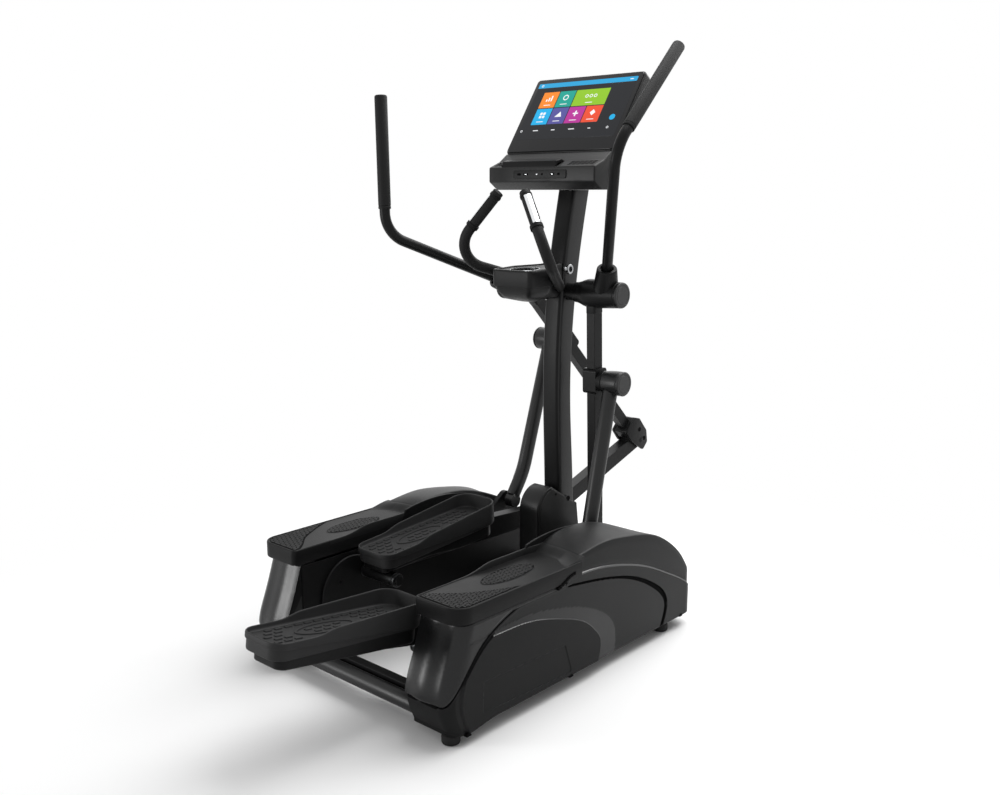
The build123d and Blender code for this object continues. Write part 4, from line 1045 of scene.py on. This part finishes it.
class TRAINER_OT_decks(PieceOperator, bpy.types.Operator):
    """Build the step decks with their rims, raised bricks, rising inner lips and front steps"""

    bl_idname = "trainer.decks"
    bl_label = "Step decks"

    OUTLINE = rounded([(237, -567), (392, -567), (392, -98), (237, -90)], [14, 48, 1, 1], 14)
    FLOOR = DECK_TOP - 1.8
    SWOOSH = [(238, -548), (275, -504), (314, -466), (335, -433), (359, -390), (390, -318)]
    OVAL = ((305, -298), (37, 98))
    LIP = [(-440, 350.5), (-400, 350.5), (-371, 352), (-333, 359), (-305, 364.5), (-260, 366), (-150, 366),
           (-110, 366), (-84, 365)]
    STEP = np.array([(242, -124), (298, -122), (335, -130), (362, -150), (390, -167)])
    STEP_END, STEP_TOP = -86.0, 366.5
    TREADS_FROM, TREADS_TO = (222.0, -564.0), (400.0, -200.0)
    GROUND = (FLOOR - 1, FLOOR + 0.3)

    def deck(self):
        rows = [(16, DECK_TOP - 8), (16, BAND_BOTTOM), (3, BAND_BOTTOM), (0.8, BAND_BOTTOM + 0.6),
                (0, BAND_BOTTOM + 2.5), (0, DECK_TOP - 3.2), (0.5, DECK_TOP - 1.6), (1.6, DECK_TOP - 0.5),
                (3, DECK_TOP), (4.4, DECK_TOP), (5.2, DECK_TOP - 0.6), (5.8, self.FLOOR)]
        return Shape().stack(self.OUTLINE, rows)

    def treads(self):
        """Raised bricks behind the swoosh and in the oval, a ground below them painted dark as shade, and the
        oval's bead.
        """
        t = settings().tread
        size = (t.brick_length / MM, t.brick_width / MM)
        gap, rise = t.brick_gap / MM, t.brick_rise / MM
        treads = Shape()
        edge = closed(inset(self.OUTLINE, 8))
        swoosh = spline(self.SWOOSH, 40)
        centre, half = self.OVAL

        def allowed(x, y):
            spot = np.array([(x, y)])
            if offsets(spot, edge)[0] < 2:
                return False
            inside = hypot((x - centre[0]) / (half[0] - 3), (y - centre[1]) / (half[1] - 3)) < 1
            return inside or offsets(spot, swoosh)[0] < -3

        row, y = 0, self.TREADS_FROM[1]
        while y < self.TREADS_TO[1]:
            x = self.TREADS_FROM[0] + (0.5 * (size[0] + gap) if row % 2 else 0)
            while x < self.TREADS_TO[0]:
                ends = [x + size[0] * (k / 10 - 0.5) for k in range(11)]
                held = [e for e in ends if allowed(e, y)]
                if len(held) > 2:
                    middle, width = (held[0] + held[-1]) / 2, held[-1] - held[0]
                    treads.brick((middle, y), (width, size[1]), self.FLOOR, rise, 0.6)
                x += size[0] + gap
            y += size[1] + gap
            row += 1
        ring = oval(centre, half, 72)
        treads.tint = 1
        treads.slab(ring, *self.GROUND, 0.1, steps=1)
        rear = [p for p in inset(self.OUTLINE, 8.5) if offsets(np.array([p]), swoosh)[0] < -3]
        rear += [tuple(p) for p in swoosh[::-1] if offsets(np.array([p]), edge)[0] > 1.5]
        treads.slab(rear, *self.GROUND, 0.1, steps=1)
        treads.tint = 0
        low, high = self.FLOOR - 0.3, self.FLOOR + 0.7
        bead = [(0, low), (0.3, high), (1.5, high), (1.8, low)]
        return treads.stack(ring, [*bead, bead[0]], ends=False)

    def fairing(self):
        """The lip that rises along the deck's inner edge, and the step up to the hump."""
        rim = []
        for y, top in spline(self.LIP, 60):
            x = 236.9 + 6.4 * smooth(-170, -90, y)
            section = [(0, 338), (0, top - 2.2), (0.7, top - 0.7), (2.1, top), (3.6, top), (5, top - 0.7),
                       (5.7, top - 2.2), (5.7, 338)]
            rim.append([(x + out, y, z) for out, z in section])
        rings = []
        for x in np.linspace(242, 389, 36):
            foot = read_off(self.STEP, x)
            run, rise = self.STEP_END - foot, self.STEP_TOP - 5.5 * ((x - 242) / 140) ** 2.4 - self.FLOOR
            slope = [(foot + run * t, self.FLOOR + 0.2 + rise * smooth(0, 1, t) ** 0.8)
                     for t in np.linspace(0, 1, 12)]
            section = [(foot, self.FLOOR - 6), *slope, (self.STEP_END, self.FLOOR - 6)]
            rings.append([(x, y, z) for y, z in section])
        return Shape().skin(rim).skin(rings)

    def build(self):
        for side in SIDES:
            where = place(side)
            stand_in(f"deck_{side}", self.deck(), "band", where)
            piece(f"deck_treads_{side}", self.treads(), ["tread", "hollow"], where, slot="tread_rubber")
            piece(f"deck_fairing_{side}", self.fairing(), "shell", where)


# Pedals

class TRAINER_OT_pedals(PieceOperator, bpy.types.Operator):
    """Build the pedals: trays with a rising rim, pads with dashes and a ring, and the bases below"""

    bl_idname = "trainer.pedals"
    bl_label = "Pedals"

    X = 132.0
    HEEL_Y = -1268.0
    TOE_Y = -806.0
    OUTLINE = rounded([(60, -1268), (204, -1268), (207, -1037), (207, -806), (57, -806), (57, -1037)],
                      [38, 38, 60, 48, 48, 60], 10)
    BASE = rounded([(92, -1252), (198, -1252), (203, -1037), (203, -822), (66, -822), (66, -980),
                    (92, -1080)], [16, 26, 60, 40, 40, 40, 40], 8)
    BOTTOM, RIM, SHOULDER, HOOD = -46.0, -3.0, 9.0, 22.0
    RISE = (-1156.0, -1086.0)
    CROWN_Y = -836.0
    BASE_DROP = (22.0, 38.0)
    RING = (X, -1075.0), (34.0, 88.0)
    RING_CLEAR = (0.62, 1.32)
    PAD_TOP = 1.4

    def along(self, y, heel, toe):
        """A height that runs straight from the heel to the toe."""
        return heel + (toe - heel) * (y - self.HEEL_Y) / (self.TOE_Y - self.HEEL_Y)

    def bottom(self, y):
        return self.BOTTOM

    def floor(self, y):
        return self.along(y, -15.5, -22.0)

    def foot(self, y):
        """The lower edge of the tray's proud wall."""
        return self.along(y, -17.5, -41.0)

    def rim(self, y):
        rise = self.RIM + (self.SHOULDER - self.RIM) * smooth(*self.RISE, y)
        share = np.clip((y - self.RISE[1]) / (self.CROWN_Y - self.RISE[1]), 0, 1)
        return rise + (self.HOOD - self.SHOULDER) * share

    def above(self, datum, *rows):
        """Rows of a stack, given by how far in they are and how high above a line along the pedal."""
        return [(back, lambda y, up=up: datum(y) + up) for back, up in rows]

    def close(self, outline):
        """An outline with points close enough to follow the rim's rise."""
        points = []
        for (ax, ay), (bx, by) in zip(outline, [*outline[1:], outline[0]]):
            count = max(1, int(hypot(bx - ax, by - ay) / 10))
            points += [(ax + (bx - ax) * k / count, ay + (by - ay) * k / count) for k in range(count)]
        return points

    def tray(self):
        rows = self.above(self.bottom, (6, 0), (4.2, 1.5), (3.6, 4))
        rows += [(3.6, lambda y: max(self.foot(y) - 1.2, self.BOTTOM + 4.2))]
        rows += self.above(self.foot, (1.2, -0.8), (0.2, 0.4), (0, 2))
        rows += self.above(self.rim, (0, -3), (0.4, -1.3), (1.4, -0.3), (2.6, 0), (3.9, -0.5), (4.7, -1.8),
                           (5.2, -3.8))
        rows += self.above(self.floor, (6, 6), (7.4, 2.5), (10, 0.6), (14, 0))
        return Shape().stack(self.close(self.OUTLINE), rows)

    def pad(self):
        """The pad with its raised dashes, which keep clear of the ring in its middle."""
        t = settings().tread
        size = (t.dash_width / MM, t.dash_length / MM)
        gap, rise = t.dash_gap / MM, t.dash_rise / MM
        plan = inset(self.close(self.OUTLINE), 11)
        pad = Shape().stack(plan, self.above(self.floor, (0, -1), (0, 0.8), (0.8, self.PAD_TOP)))
        edge = closed(inset(self.OUTLINE, 16))
        centre, half = self.RING
        column, x = 0, self.X - 2.5 * (size[0] + gap)
        while x < self.X + 70:
            y = self.HEEL_Y + 8 + (0.5 * (size[1] + gap) if column % 2 else 0)
            while y < self.TOE_Y - 50:
                reach = min(offsets(np.array([(x + dx, y + dy) for dx in (-5, 5) for dy in (-9, 9)]), edge))
                ring = hypot((x - centre[0]) / half[0], (y - centre[1]) / half[1])
                if reach > 0 and not self.RING_CLEAR[0] < ring < self.RING_CLEAR[1]:
                    pad.brick((x, y), size, self.floor(y) + self.PAD_TOP, rise, 1.6)
                y += size[1] + gap
            x += size[0] + gap
            column += 1
        bead = [(0, 1.0), (1.4, self.PAD_TOP + rise), (6.4, self.PAD_TOP + rise), (7.8, 1.0)]
        return pad.stack(oval(centre, half, 60), self.above(self.floor, *bead, bead[0]), ends=False)

    def base(self):
        def low(y):
            return self.BOTTOM - self.along(y, *self.BASE_DROP)

        rows = self.above(low, (8, 0), (3, 0.8), (0.8, 3), (0, 6)) + self.above(self.bottom, (0, 2), (4, 2))
        return Shape().stack(self.close(self.BASE), rows)

    def build(self):
        for side in SIDES:
            for name, shape, material, slot in (
                ("pedal_tray", self.tray(), "tread", "housing_black"),
                ("pedal_pad", self.pad(), "rubber", "tread_rubber"),
                ("pedal_base", self.base(), "band", "housing_black"),
            ):
                stand_in(f"{name}_{side}", shape, material, arm_place(side), f"{side}_pedal", slot)


# Mast

class TRAINER_OT_mast(PieceOperator, bpy.types.Operator):
    """Build the bowed mast, the cover round its foot and the fixings of the fixed handles"""

    bl_idname = "trainer.mast"
    bl_label = "Mast"

    FOOT, TOP = 104.0, 1318.0
    REAR = spline([(252, FOOT), (245, 460), (237, 670), (242, 930), (268, 1140), (304, TOP)], 48)
    FRONT = spline([(322, FOOT), (315, 460), (301, 670), (310, 930), (340, 1140), (378, TOP)], 48)
    HALF = 33.0
    COVER_CORNER, COVER_RADIUS = (208, 351), 70.0
    COVER_HALF = 40.0
    HOLE, SCREW = (284, 370), (222, 396)
    RING_AT, BOLT_AT = (284, 1084), (262, 1086)
    WAYS = (-1, 1)

    def mast(self):
        rings = []
        for z in np.linspace(self.FOOT, self.TOP, 48):
            depth = read_off(self.REAR, z, 1), read_off(self.FRONT, z, 1)
            section = rounded(rectangle((-self.HALF, self.HALF), depth), [13, 13, 6, 6], 6)
            rings.append([(x, y, z) for x, y in section])
        return Shape().skin(rings)

    def cover(self):
        """The cover round the mast's foot: a rounded back between two side plates."""
        (y, z), radius = self.COVER_CORNER, self.COVER_RADIUS
        arc = [(y - radius * sin(a), z + radius * cos(a)) for a in np.linspace(0, pi / 2, 15)]
        front = rounded([(345, self.FOOT), (342, 268), (320, 421)], [2, 60, 8], 6)
        outline = front + arc + [(138, self.FOOT)]
        cover = Shape().slab(outline, -self.COVER_HALF + 3, self.COVER_HALF - 3, 5, "yz", 4)
        plate = [(y + 9, z - 5) if y < 200 else (y - 2, z - 4) for y, z in outline]
        for way in self.WAYS:
            ends = sorted((way * (self.COVER_HALF - 6), way * self.COVER_HALF))
            cover.slab(plate, *ends, 2.4, "yz", 3)
        # The sockets are near-black marks: painted shade in the hole and the screw's recess
        cover.tint = 1
        for way in self.WAYS:
            for at, r, sides in ((self.HOLE, 9, 6), (self.SCREW, 4, 20)):
                socket = [(-1, r), (0.4, r), (0.4, r - 1), (0.1, r - 1.6), (0.1, 0)]
                cover.lathe(socket, (way * self.COVER_HALF, *at), (way, 0, 0), sides)
        return cover

    def bolts(self):
        """Bright fixings where the fixed handles meet the mast."""
        bolts = Shape()
        ring = [(-2, 13), (0, 13), (1, 14.5), (4, 14.5), (5, 13), (5, 10.5)]
        bolt = [(-2, 0), (-2, 6), (3, 6), (4.4, 5), (5, 3.4), (5, 0)]
        for way in self.WAYS:
            bolts.sleeve(ring, 8.5, (way * self.HALF, *self.RING_AT), (way, 0, 0), 36)
            bolts.lathe(bolt, (way * self.HALF, *self.BOLT_AT), (way, 0, 0), 6)
        return bolts

    def part_sides(self, work):
        """Paints the mast's two sides with a lighter, glossier copy of the coat: painted sheen where light
        falls on them.
        """
        work.normal_update()
        for face in work.faces:
            face.material_index = int(abs(face.normal.x) > 0.75)

    def build(self):
        where = place()
        stand_in("mast", self.mast(), ["coat", "coat_side"], where, slot="powder_black", form=self.part_sides)
        piece("mast_cover_form", self.cover(), ["console", "hollow"], where, replaces=["mast_base_cover"])
        piece("handle_bolts", self.bolts(), "steel", where, slot="steel")


# Console and screen

SCREEN_LEAN = radians(34.3)
SCREEN_FOOT = (260.0, 1432.0)
SCREEN_SIZE = (400.0, 270.0)


def screen_place():
    """From the screen's own frame, whose origin is the middle of its lower edge."""
    across = Vector((1, 0, 0))
    up = Vector((0, sin(SCREEN_LEAN), cos(SCREEN_LEAN)))
    out = Vector((0, -cos(SCREEN_LEAN), sin(SCREEN_LEAN)))
    turn = Matrix((across, up, out)).transposed().to_4x4()
    return place() @ Matrix.Translation((0, *SCREEN_FOOT)) @ turn


def screen_side(v, w):
    """Y and Z of a point given by its height up the screen and its distance in front of it."""
    return (SCREEN_FOOT[0] + v * sin(SCREEN_LEAN) - w * cos(SCREEN_LEAN),
            SCREEN_FOOT[1] + v * cos(SCREEN_LEAN) + w * sin(SCREEN_LEAN))


class TRAINER_OT_console(PieceOperator, bpy.types.Operator):
    """Build the console below the screen, with its ledge, ports and vents"""

    bl_idname = "trainer.console"
    bl_label = "Console"

    HALF = 200.0
    FACE = (180.0, 1341.0, 1384.0)
    BREAK = (226.0, 1402.0)
    SLOPE = (BREAK[1] - FACE[2]) / (BREAK[0] - FACE[0])
    BOTTOM = 1318.0
    SOCKETS = ((-76, 13), (-50, 18), (50, 16), (74, 9))
    TONGUES = ((-50, 8), (50, 7), (-8, 5))
    JACK = (12, 176.2, 1362.5)
    VENTS = ((-188, 2), (92, 6))

    def base(self):
        """The wedge with a seat for the screen, and the neck behind it."""
        front = [(self.FACE[0], self.FACE[1]), (self.FACE[0], self.FACE[2]), self.BREAK]
        seat = [screen_side(-5, -3), screen_side(-5, -33), screen_side(110, -33)]
        outline = front + seat + [(270, self.BOTTOM), (214, self.BOTTOM)]
        outline = rounded(outline, [7, 6, 5, 5, 1, 5, 8, 9], 4)
        body = Shape().slab(outline, -self.HALF, self.HALF, 4.5, "yz", 5)
        neck = [(262, 1319), screen_side(-5, -32), screen_side(100, -32), (392, 1408), (392, 1319)]
        return body.slab(rounded(neck, [1, 1, 10, 12, 12], 4), -60, 60, 8, "yz", 4)

    def ledge(self):
        y, z = self.FACE[0], self.FACE[2]
        outline = [(y + 1, z - 2), (y + 44, z + 40 * self.SLOPE), (y + 30, z + 23), (y + 5, z + 17)]
        return Shape().slab(rounded(outline, [1, 1, 3, 4], 4), -150, 60, 4, "yz", 4)

    def ports(self):
        """The port strip on the control face."""
        return Shape().block((-100, 100), (176.8, 180.5), (1350, 1375), 6, 1, "xz")

    def sockets(self):
        """Near-black marks as painted shade in the sockets and in the small round jack on the strip."""
        marks = Shape()
        for x, width in self.SOCKETS:
            marks.block((x - width / 2, x + width / 2), (176.2, 178), (1359.5, 1366), 1.4, 0.3, "xz")
        return marks.lathe([(0, 0), (0, 3.2), (1.2, 3.4), (1.6, 3.4)], self.JACK, (0, 1, 0), 24)

    def tongues(self):
        """Metal tongues inside the sockets."""
        marks = Shape()
        for x, width in self.TONGUES:
            marks.block((x - width / 2, x + width / 2), (175.9, 177), (1361.6, 1364.2), 0.6, 0.2, "xz")
        return marks

    def vents(self):
        """Rows of speaker slots on the sloped top, at both ends: near-black blocks as painted shade."""
        slots = Shape()
        for start, count in self.VENTS:
            for row in range(4):
                y = self.FACE[0] + 12 + 7.5 * row
                z = self.FACE[2] + (y - self.FACE[0]) * self.SLOPE
                for k in range(count):
                    x = start + 16 * k
                    slots.block((x, x + 13), (y, y + 3.2), (z - 1, z + 1.5), 1.5, 0.3)
        return slots

    def build(self):
        where = place()
        piece("console_form", self.base(), "console", where, replaces=["console_base"])
        stand_in("reading_ledge", self.ledge(), "band", where)
        stand_in("port_strip", self.ports(), "shell", where)
        piece("port_sockets", self.sockets(), "hollow", where)
        piece("port_tongues", self.tongues(), "steel", where, slot="steel")
        piece("speaker_slots", self.vents(), "hollow", where)


class TRAINER_OT_screen(PieceOperator, bpy.types.Operator):
    """Build the screen: its housing, its glass and a plain picture of tiles"""

    bl_idname = "trainer.screen"
    bl_label = "Screen"

    TILES = {
        "teal": (0.01, 0.34, 0.27), "green": (0.26, 0.52, 0.02), "orange": (0.86, 0.24, 0.02),
        "indigo": (0.09, 0.085, 0.32), "red": (0.8, 0.075, 0.03), "sky": (0.01, 0.42, 0.78),
        "plum": (0.46, 0.03, 0.3),
    }
    # Each tile's colour, column and row, and how many columns it spans
    LAYOUT = [("orange", 0, 1, 1), ("teal", 1, 1, 1), ("green", 2, 1, 2), ("sky", 0, 0, 1),
              ("indigo", 1, 0, 1), ("plum", 2, 0, 1), ("red", 3, 0, 1)]
    TILE, GAP, CORNER = (61.0, 59.0), 3.0, (-150.0, 98.0)
    PICTURE = (-186, 186), (44, 254)
    HEADER_FOOT, HEADER_MIDDLE = 237, 245.5
    DISC, DISC_RADIUS = (152, 112), 10
    KEYS, KEY_LINE = ((-120, 20), (-52, 14), (18, 22), (84, 10)), 76
    GROUND_LIFT, TILE_LIFT, SIGN_FOOT, SIGN_LIFT = 0.25, 0.35, 0.2, 0.6

    def plate(self, shape, us, vs, corner, lift):
        shape.slab(rounded(rectangle(us, vs), corner, 4), 0, lift, 0.1, steps=1)

    def tile(self, column, row, span):
        """The limits of a tile, across and up."""
        u = self.CORNER[0] + column * (self.TILE[0] + self.GAP)
        v = self.CORNER[1] + row * (self.TILE[1] + self.GAP)
        return (u, u + span * self.TILE[0] + (span - 1) * self.GAP), (v, v + self.TILE[1])

    def picture(self):
        """The lit ground with its header, tiles and disc, and their materials."""
        s = settings().screen
        names = list(self.TILES)
        materials = [lit("picture_ground", s.backdrop), lit("picture_header", s.header)]
        materials += [lit(f"picture_{name}", self.TILES[name]) for name in names]
        picture = Shape()
        across, up = self.PICTURE
        self.plate(picture, across, up, 3, self.GROUND_LIFT)
        picture.tint = 1
        self.plate(picture, across, (self.HEADER_FOOT, up[1]), 2, self.TILE_LIFT)
        for name, *spot in self.LAYOUT:
            picture.tint = 2 + names.index(name)
            self.plate(picture, *self.tile(*spot), 1.5, self.TILE_LIFT)
        picture.tint = 2 + names.index("sky")
        disc = oval(self.DISC, (self.DISC_RADIUS, self.DISC_RADIUS), 32)
        picture.slab(disc, 0, self.TILE_LIFT, 0.1, steps=1)
        return picture, materials

    def signs(self):
        """Small plain signs on the tiles, below them and on the header."""
        signs = Shape()

        def bar(u, v, width, height, corner=1.0):
            us, vs = (u - width / 2, u + width / 2), (v - height / 2, v + height / 2)
            self.plate(signs, us, vs, corner, self.SIGN_LIFT)

        def ring(u, v, radius, thick):
            low, high, inner = self.SIGN_FOOT, self.SIGN_LIFT, radius - thick
            rows = [(radius, low), (radius, high), (inner, high), (inner, low), (radius, low)]
            signs.skin([[(x, y, w) for x, y in oval((u, v), (r, r), 28)] for r, w in rows], ends=False)

        def flat(*corners):
            signs.slab(corners, self.SIGN_FOOT, self.SIGN_LIFT, 0.1, steps=1)

        middles = {}
        for name, *spot in self.LAYOUT:
            us, vs = self.tile(*spot)
            middles[name] = sum(us) / 2, sum(vs) / 2 + 5
        u, v = middles["orange"]
        for k, height in enumerate((8, 14, 20)):
            bar(u - 9 + 9 * k, v - 10 + height / 2, 5, height)
        ring(*middles["teal"], 10, 3)
        u, v = middles["green"]
        for k in range(3):
            ring(u - 16 + 16 * k, v, 6, 2.2)
        u, v = middles["sky"]
        for k in range(4):
            bar(u - 6 + 12 * (k % 2), v - 6 + 12 * (k // 2), 9, 9)
        u, v = middles["indigo"]
        flat((u - 13, v - 9), (u + 13, v - 9), (u + 4, v + 10))
        bar(*middles["plum"], 20, 5, 2)
        bar(*middles["plum"], 5, 20, 2)
        u, v = middles["red"]
        flat((u, v - 11), (u + 10, v), (u, v + 11), (u - 10, v))
        for u, v in middles.values():
            bar(u, v - 24, 26, 2.4, 0.8)
        for u, width in self.KEYS:
            bar(u, self.KEY_LINE, width, 3, 1)
        for u in (-176, 150):
            ring(u, self.KEY_LINE, 4, 1.6)
        bar(166, self.HEADER_MIDDLE, 12, 2.5)
        ring(-170, self.HEADER_MIDDLE, 4.2, 1.5)
        return signs

    def build(self):
        where = screen_place()
        width, height = SCREEN_SIZE
        outline = rounded(rectangle((-width / 2 - 5, width / 2 + 5), (-5, height + 5)), 15, 8)
        body = Shape().slab(outline, -33, -3, 5, steps=5)
        body.block((-150, 150), (40, 210), (-39, -32), 14, 3)
        stand_in("screen_body", body, "bezel", where)
        glass = Shape().slab(rounded(rectangle((-width / 2, width / 2), (0, height)), 10, 8), -3.5, 0, 1.2)
        stand_in("screen_glass", glass, "glass", where, slot="screen")
        picture, materials = self.picture()
        piece("screen_picture", picture, materials, where, slot="screen")
        bright = lit("picture_signs", settings().screen.mark)
        piece("screen_signs", self.signs(), bright, where, slot="screen")


# Cup holder

class TRAINER_OT_cup_holder(PieceOperator, bpy.types.Operator):
    """Build the cup holder on the mast, with its well and bright rim"""

    bl_idname = "trainer.cup_holder"
    bl_label = "Cup holder"

    FOOT = [(40, 92), (40, 150), (24, 222), (24, 262), (-24, 262), (-24, 222), (-40, 150), (-40, 92)]
    HEAD = [(76, 54), (76, 150), (30, 226), (30, 262), (-30, 262), (-30, 226), (-76, 150), (-76, 54)]
    CENTRE = (0.0, 118.0)
    RISE = 0.055
    # Height, share of the way from the foot's outline to the head's, and how far out from there
    OUTSIDE = [(1000, 0, -16), (1001.5, 0.05, -9), (1006, 0.25, -5), (1013, 0.5, -3), (1023, 0.7, -2),
               (1034, 0.83, -1), (1042, 0.88, -0.6), (1043, 0.95, 0), (1045, 0.97, 0), (1088, 1, 0),
               (1092.5, 1, -0.6), (1094.4, 1, -2), (1095, 1, -4), (1095, 1, -9), (1092, 1, -11)]
    WELL = [(1090.5, 45), (1089.5, 43), (1087, 41.5), (1020, 40), (1014, 38), (1012, 32)]
    RIM, RIM_BORE, RIM_FOOT = [(0, 43.5), (0.8, 44.6), (2.2, 44.6), (3, 43.5)], 41.8, 1089

    def around(self, outline, turn):
        """Where a ray from the well's middle meets an outline."""
        x0, y0 = self.CENTRE
        dx, dy = cos(turn), sin(turn)
        best = 1e9
        for (ax, ay), (bx, by) in zip(outline, [*outline[1:], outline[0]]):
            ex, ey = bx - ax, by - ay
            cross = dx * ey - dy * ex
            if abs(cross) > 1e-9:
                far = ((ax - x0) * ey - (ay - y0) * ex) / cross
                share = ((ax - x0) * dy - (ay - y0) * dx) / cross
                if far > 0 and -1e-6 <= share <= 1 + 1e-6:
                    best = min(best, far)
        return best

    def spot(self, turn, far, z):
        """A point round the well; the brim rises towards the mast."""
        x, y = self.CENTRE[0] + far * cos(turn), self.CENTRE[1] + far * sin(turn)
        return x, y, z + self.RISE * (y - self.CENTRE[1]) * smooth(1045, 1090, z)

    def build(self):
        turns = np.linspace(0, 2 * pi, 121)[:-1]
        foot = [self.around(rounded(self.FOOT, 10), a) for a in turns]
        head = [self.around(rounded(self.HEAD, 14), a) for a in turns]
        rings = []
        for z, share, out in self.OUTSIDE:
            reach = [f + (h - f) * share + out for f, h in zip(foot, head)]
            rings.append([self.spot(a, far, z) for a, far in zip(turns, reach)])
        for z, radius in self.WELL:
            rings.append([self.spot(a, radius, z) for a in turns])
        stand_in("cup_holder", Shape().skin(rings), "shell", place())
        rim = Shape().sleeve(self.RIM, self.RIM_BORE, (*self.CENTRE, self.RIM_FOOT), (0, -self.RISE, 1), 64)
        piece("cup_rim", rim, "steel", place(), slot="steel")


# Stage

class TRAINER_OT_stage(PieceOperator, bpy.types.Operator):
    """Set up the floor, the soft light, the pale surround and the camera"""

    bl_idname = "trainer.stage"
    bl_label = "Stage"

    CAMERA_AT = Vector((2.010, -2.199, 1.310))
    YAW = radians(42.0924)
    PITCH = radians(11.0227)
    LENS = 37.86
    FLOOR_RADIUS = 40.0
    FADE = (0.9, 1.9)
    # Where each softbox stands, what it points at, and its size
    LAMPS = {
        "top": ((0.5, 1.3, 3.6), (0, 0, 0), (3.0, 3.0)),
        "back": ((-2.4, 3.4, 2.4), (0, 0, 0.3), (3.6, 2.2)),
        "edge": ((0.8, 3.3, 2.9), (0.2, 0, 0.3), (2.6, 1.2)),
        "strip": ((-2.05, -3.2, 0.9), (0.3, -0.5, 0.25), (0.6, 1.5)),
    }

    def stand(self, name, data, at, ahead):
        """Puts up a camera or a lamp that looks straight ahead."""
        made = bpy.data.objects.new(name, data)
        made.location = at
        made.rotation_mode = "QUATERNION"
        made.rotation_quaternion = ahead.to_track_quat("-Z", "Y")
        bpy.context.scene.collection.objects.link(made)
        return made

    def camera(self):
        data = bpy.data.cameras.new("camera")
        data.sensor_width = 36.0
        data.lens = self.LENS
        back = Vector((sin(self.YAW) * cos(self.PITCH), -cos(self.YAW) * cos(self.PITCH), sin(self.PITCH)))
        bpy.context.scene.camera = self.stand("camera", data, self.CAMERA_AT, -back)

    def softbox(self, name, at, aim, size, power):
        data = bpy.data.lights.new(name, "AREA")
        data.shape = "RECTANGLE"
        data.size, data.size_y = size
        data.energy = power
        self.stand(name, data, at, Vector(aim) - Vector(at)).visible_camera = False

    def pale(self, wire):
        """Where the surround is seen directly, mirrored or through glass."""
        rays = ("Camera", "Glossy", "Transmission")
        direct, mirrored, through = (wire.node("LightPath", output=f"Is {ray} Ray") for ray in rays)
        return wire.math("MAXIMUM", direct, wire.math("MAXIMUM", mirrored, through))

    def world(self, stage):
        world = bpy.data.worlds.new("studio")
        world.use_nodes = True
        world.node_tree.nodes.clear()
        wire = Wire(world.node_tree)
        strength = self.pale(wire) * (1.0 - stage.sky) + stage.sky
        ground = wire.node("Background", {"Color": (1, 1, 1, 1), "Strength": strength})
        wire.node("OutputWorld", {"Surface": ground})
        bpy.context.scene.world = world

    def floor(self, stage):
        """A wide pale disc that keeps the shadow and goes over into the white surround."""
        material, wire = new_material("studio_floor")
        spot = wire.node("NewGeometry", output="Position")
        away = wire.node("VectorMath", {0: spot}, output="Value", operation="LENGTH")
        mottle = wire.node("TexNoise", {"Vector": spot, "Scale": 3.0, "Detail": 3.0})
        tone = mottle.blend(shade(stage.floor, 0.995), shade(stage.floor, 1.005))
        matt = wire.node("BsdfDiffuse", {"Color": tone})
        glow = wire.node("Emission", {"Color": (1, 1, 1, 1), "Strength": 1.0})
        mixed = wire.node("MixShader", {0: away.step(*self.FADE) * self.pale(wire), 1: matt, 2: glow})
        wire.node("OutputMaterial", {"Surface": mixed})
        mesh = bpy.data.meshes.new("floor")
        ring, _ = circle(Vector((0, 0, 0)), Vector((0, 0, 1)), self.FLOOR_RADIUS, 96)
        mesh.from_pydata(ring, [], [tuple(range(len(ring)))])
        mesh.materials.append(material)
        floor = bpy.data.objects.new("floor", mesh)
        bpy.context.scene.collection.objects.link(floor)

    def build(self):
        stage = settings().stage
        self.camera()
        self.world(stage)
        self.floor(stage)
        for name, spot in self.LAMPS.items():
            self.softbox(name, *spot, getattr(stage, f"{name}_power"))
        bpy.context.scene.view_settings.view_transform = "Standard"


# Panel and registration

OPERATORS = (
    TRAINER_OT_stage, TRAINER_OT_steelwork, TRAINER_OT_handles, TRAINER_OT_linkage, TRAINER_OT_fixed_handles,
    TRAINER_OT_housings, TRAINER_OT_decks, TRAINER_OT_pedals, TRAINER_OT_mast, TRAINER_OT_console,
    TRAINER_OT_screen, TRAINER_OT_cup_holder,
)
GROUPS = (FinishSettings, TreadSettings, ScreenSettings, StageSettings, TrainerSettings)


class TRAINER_PT_sidebar(bpy.types.Panel):
    """The trainer's pieces and settings in the sidebar"""

    bl_idname = "TRAINER_PT_sidebar"
    bl_label = "Elliptical Trainer"
    bl_space_type = "VIEW_3D"
    bl_region_type = "UI"
    bl_category = "Trainer"

    def draw(self, context):
        trainer = context.scene.trainer
        for group in (trainer.finish, trainer.tread, trainer.screen, trainer.stage):
            box = self.layout.box()
            for name in group.__annotations__:
                box.prop(group, name)
        for operator in OPERATORS:
            self.layout.operator(operator.bl_idname)


def register():
    for item in (*GROUPS, *OPERATORS, TRAINER_PT_sidebar):
        bpy.utils.register_class(item)
    bpy.types.Scene.trainer = PointerProperty(type=TrainerSettings)


def unregister():
    del bpy.types.Scene.trainer
    for item in reversed((*GROUPS, *OPERATORS, TRAINER_PT_sidebar)):
        bpy.utils.unregister_class(item)


def main():
    register()
    for operator in OPERATORS:
        group, name = operator.bl_idname.split(".")
        getattr(getattr(bpy.ops, group), name)()


if __name__ == "__main__":
    main()
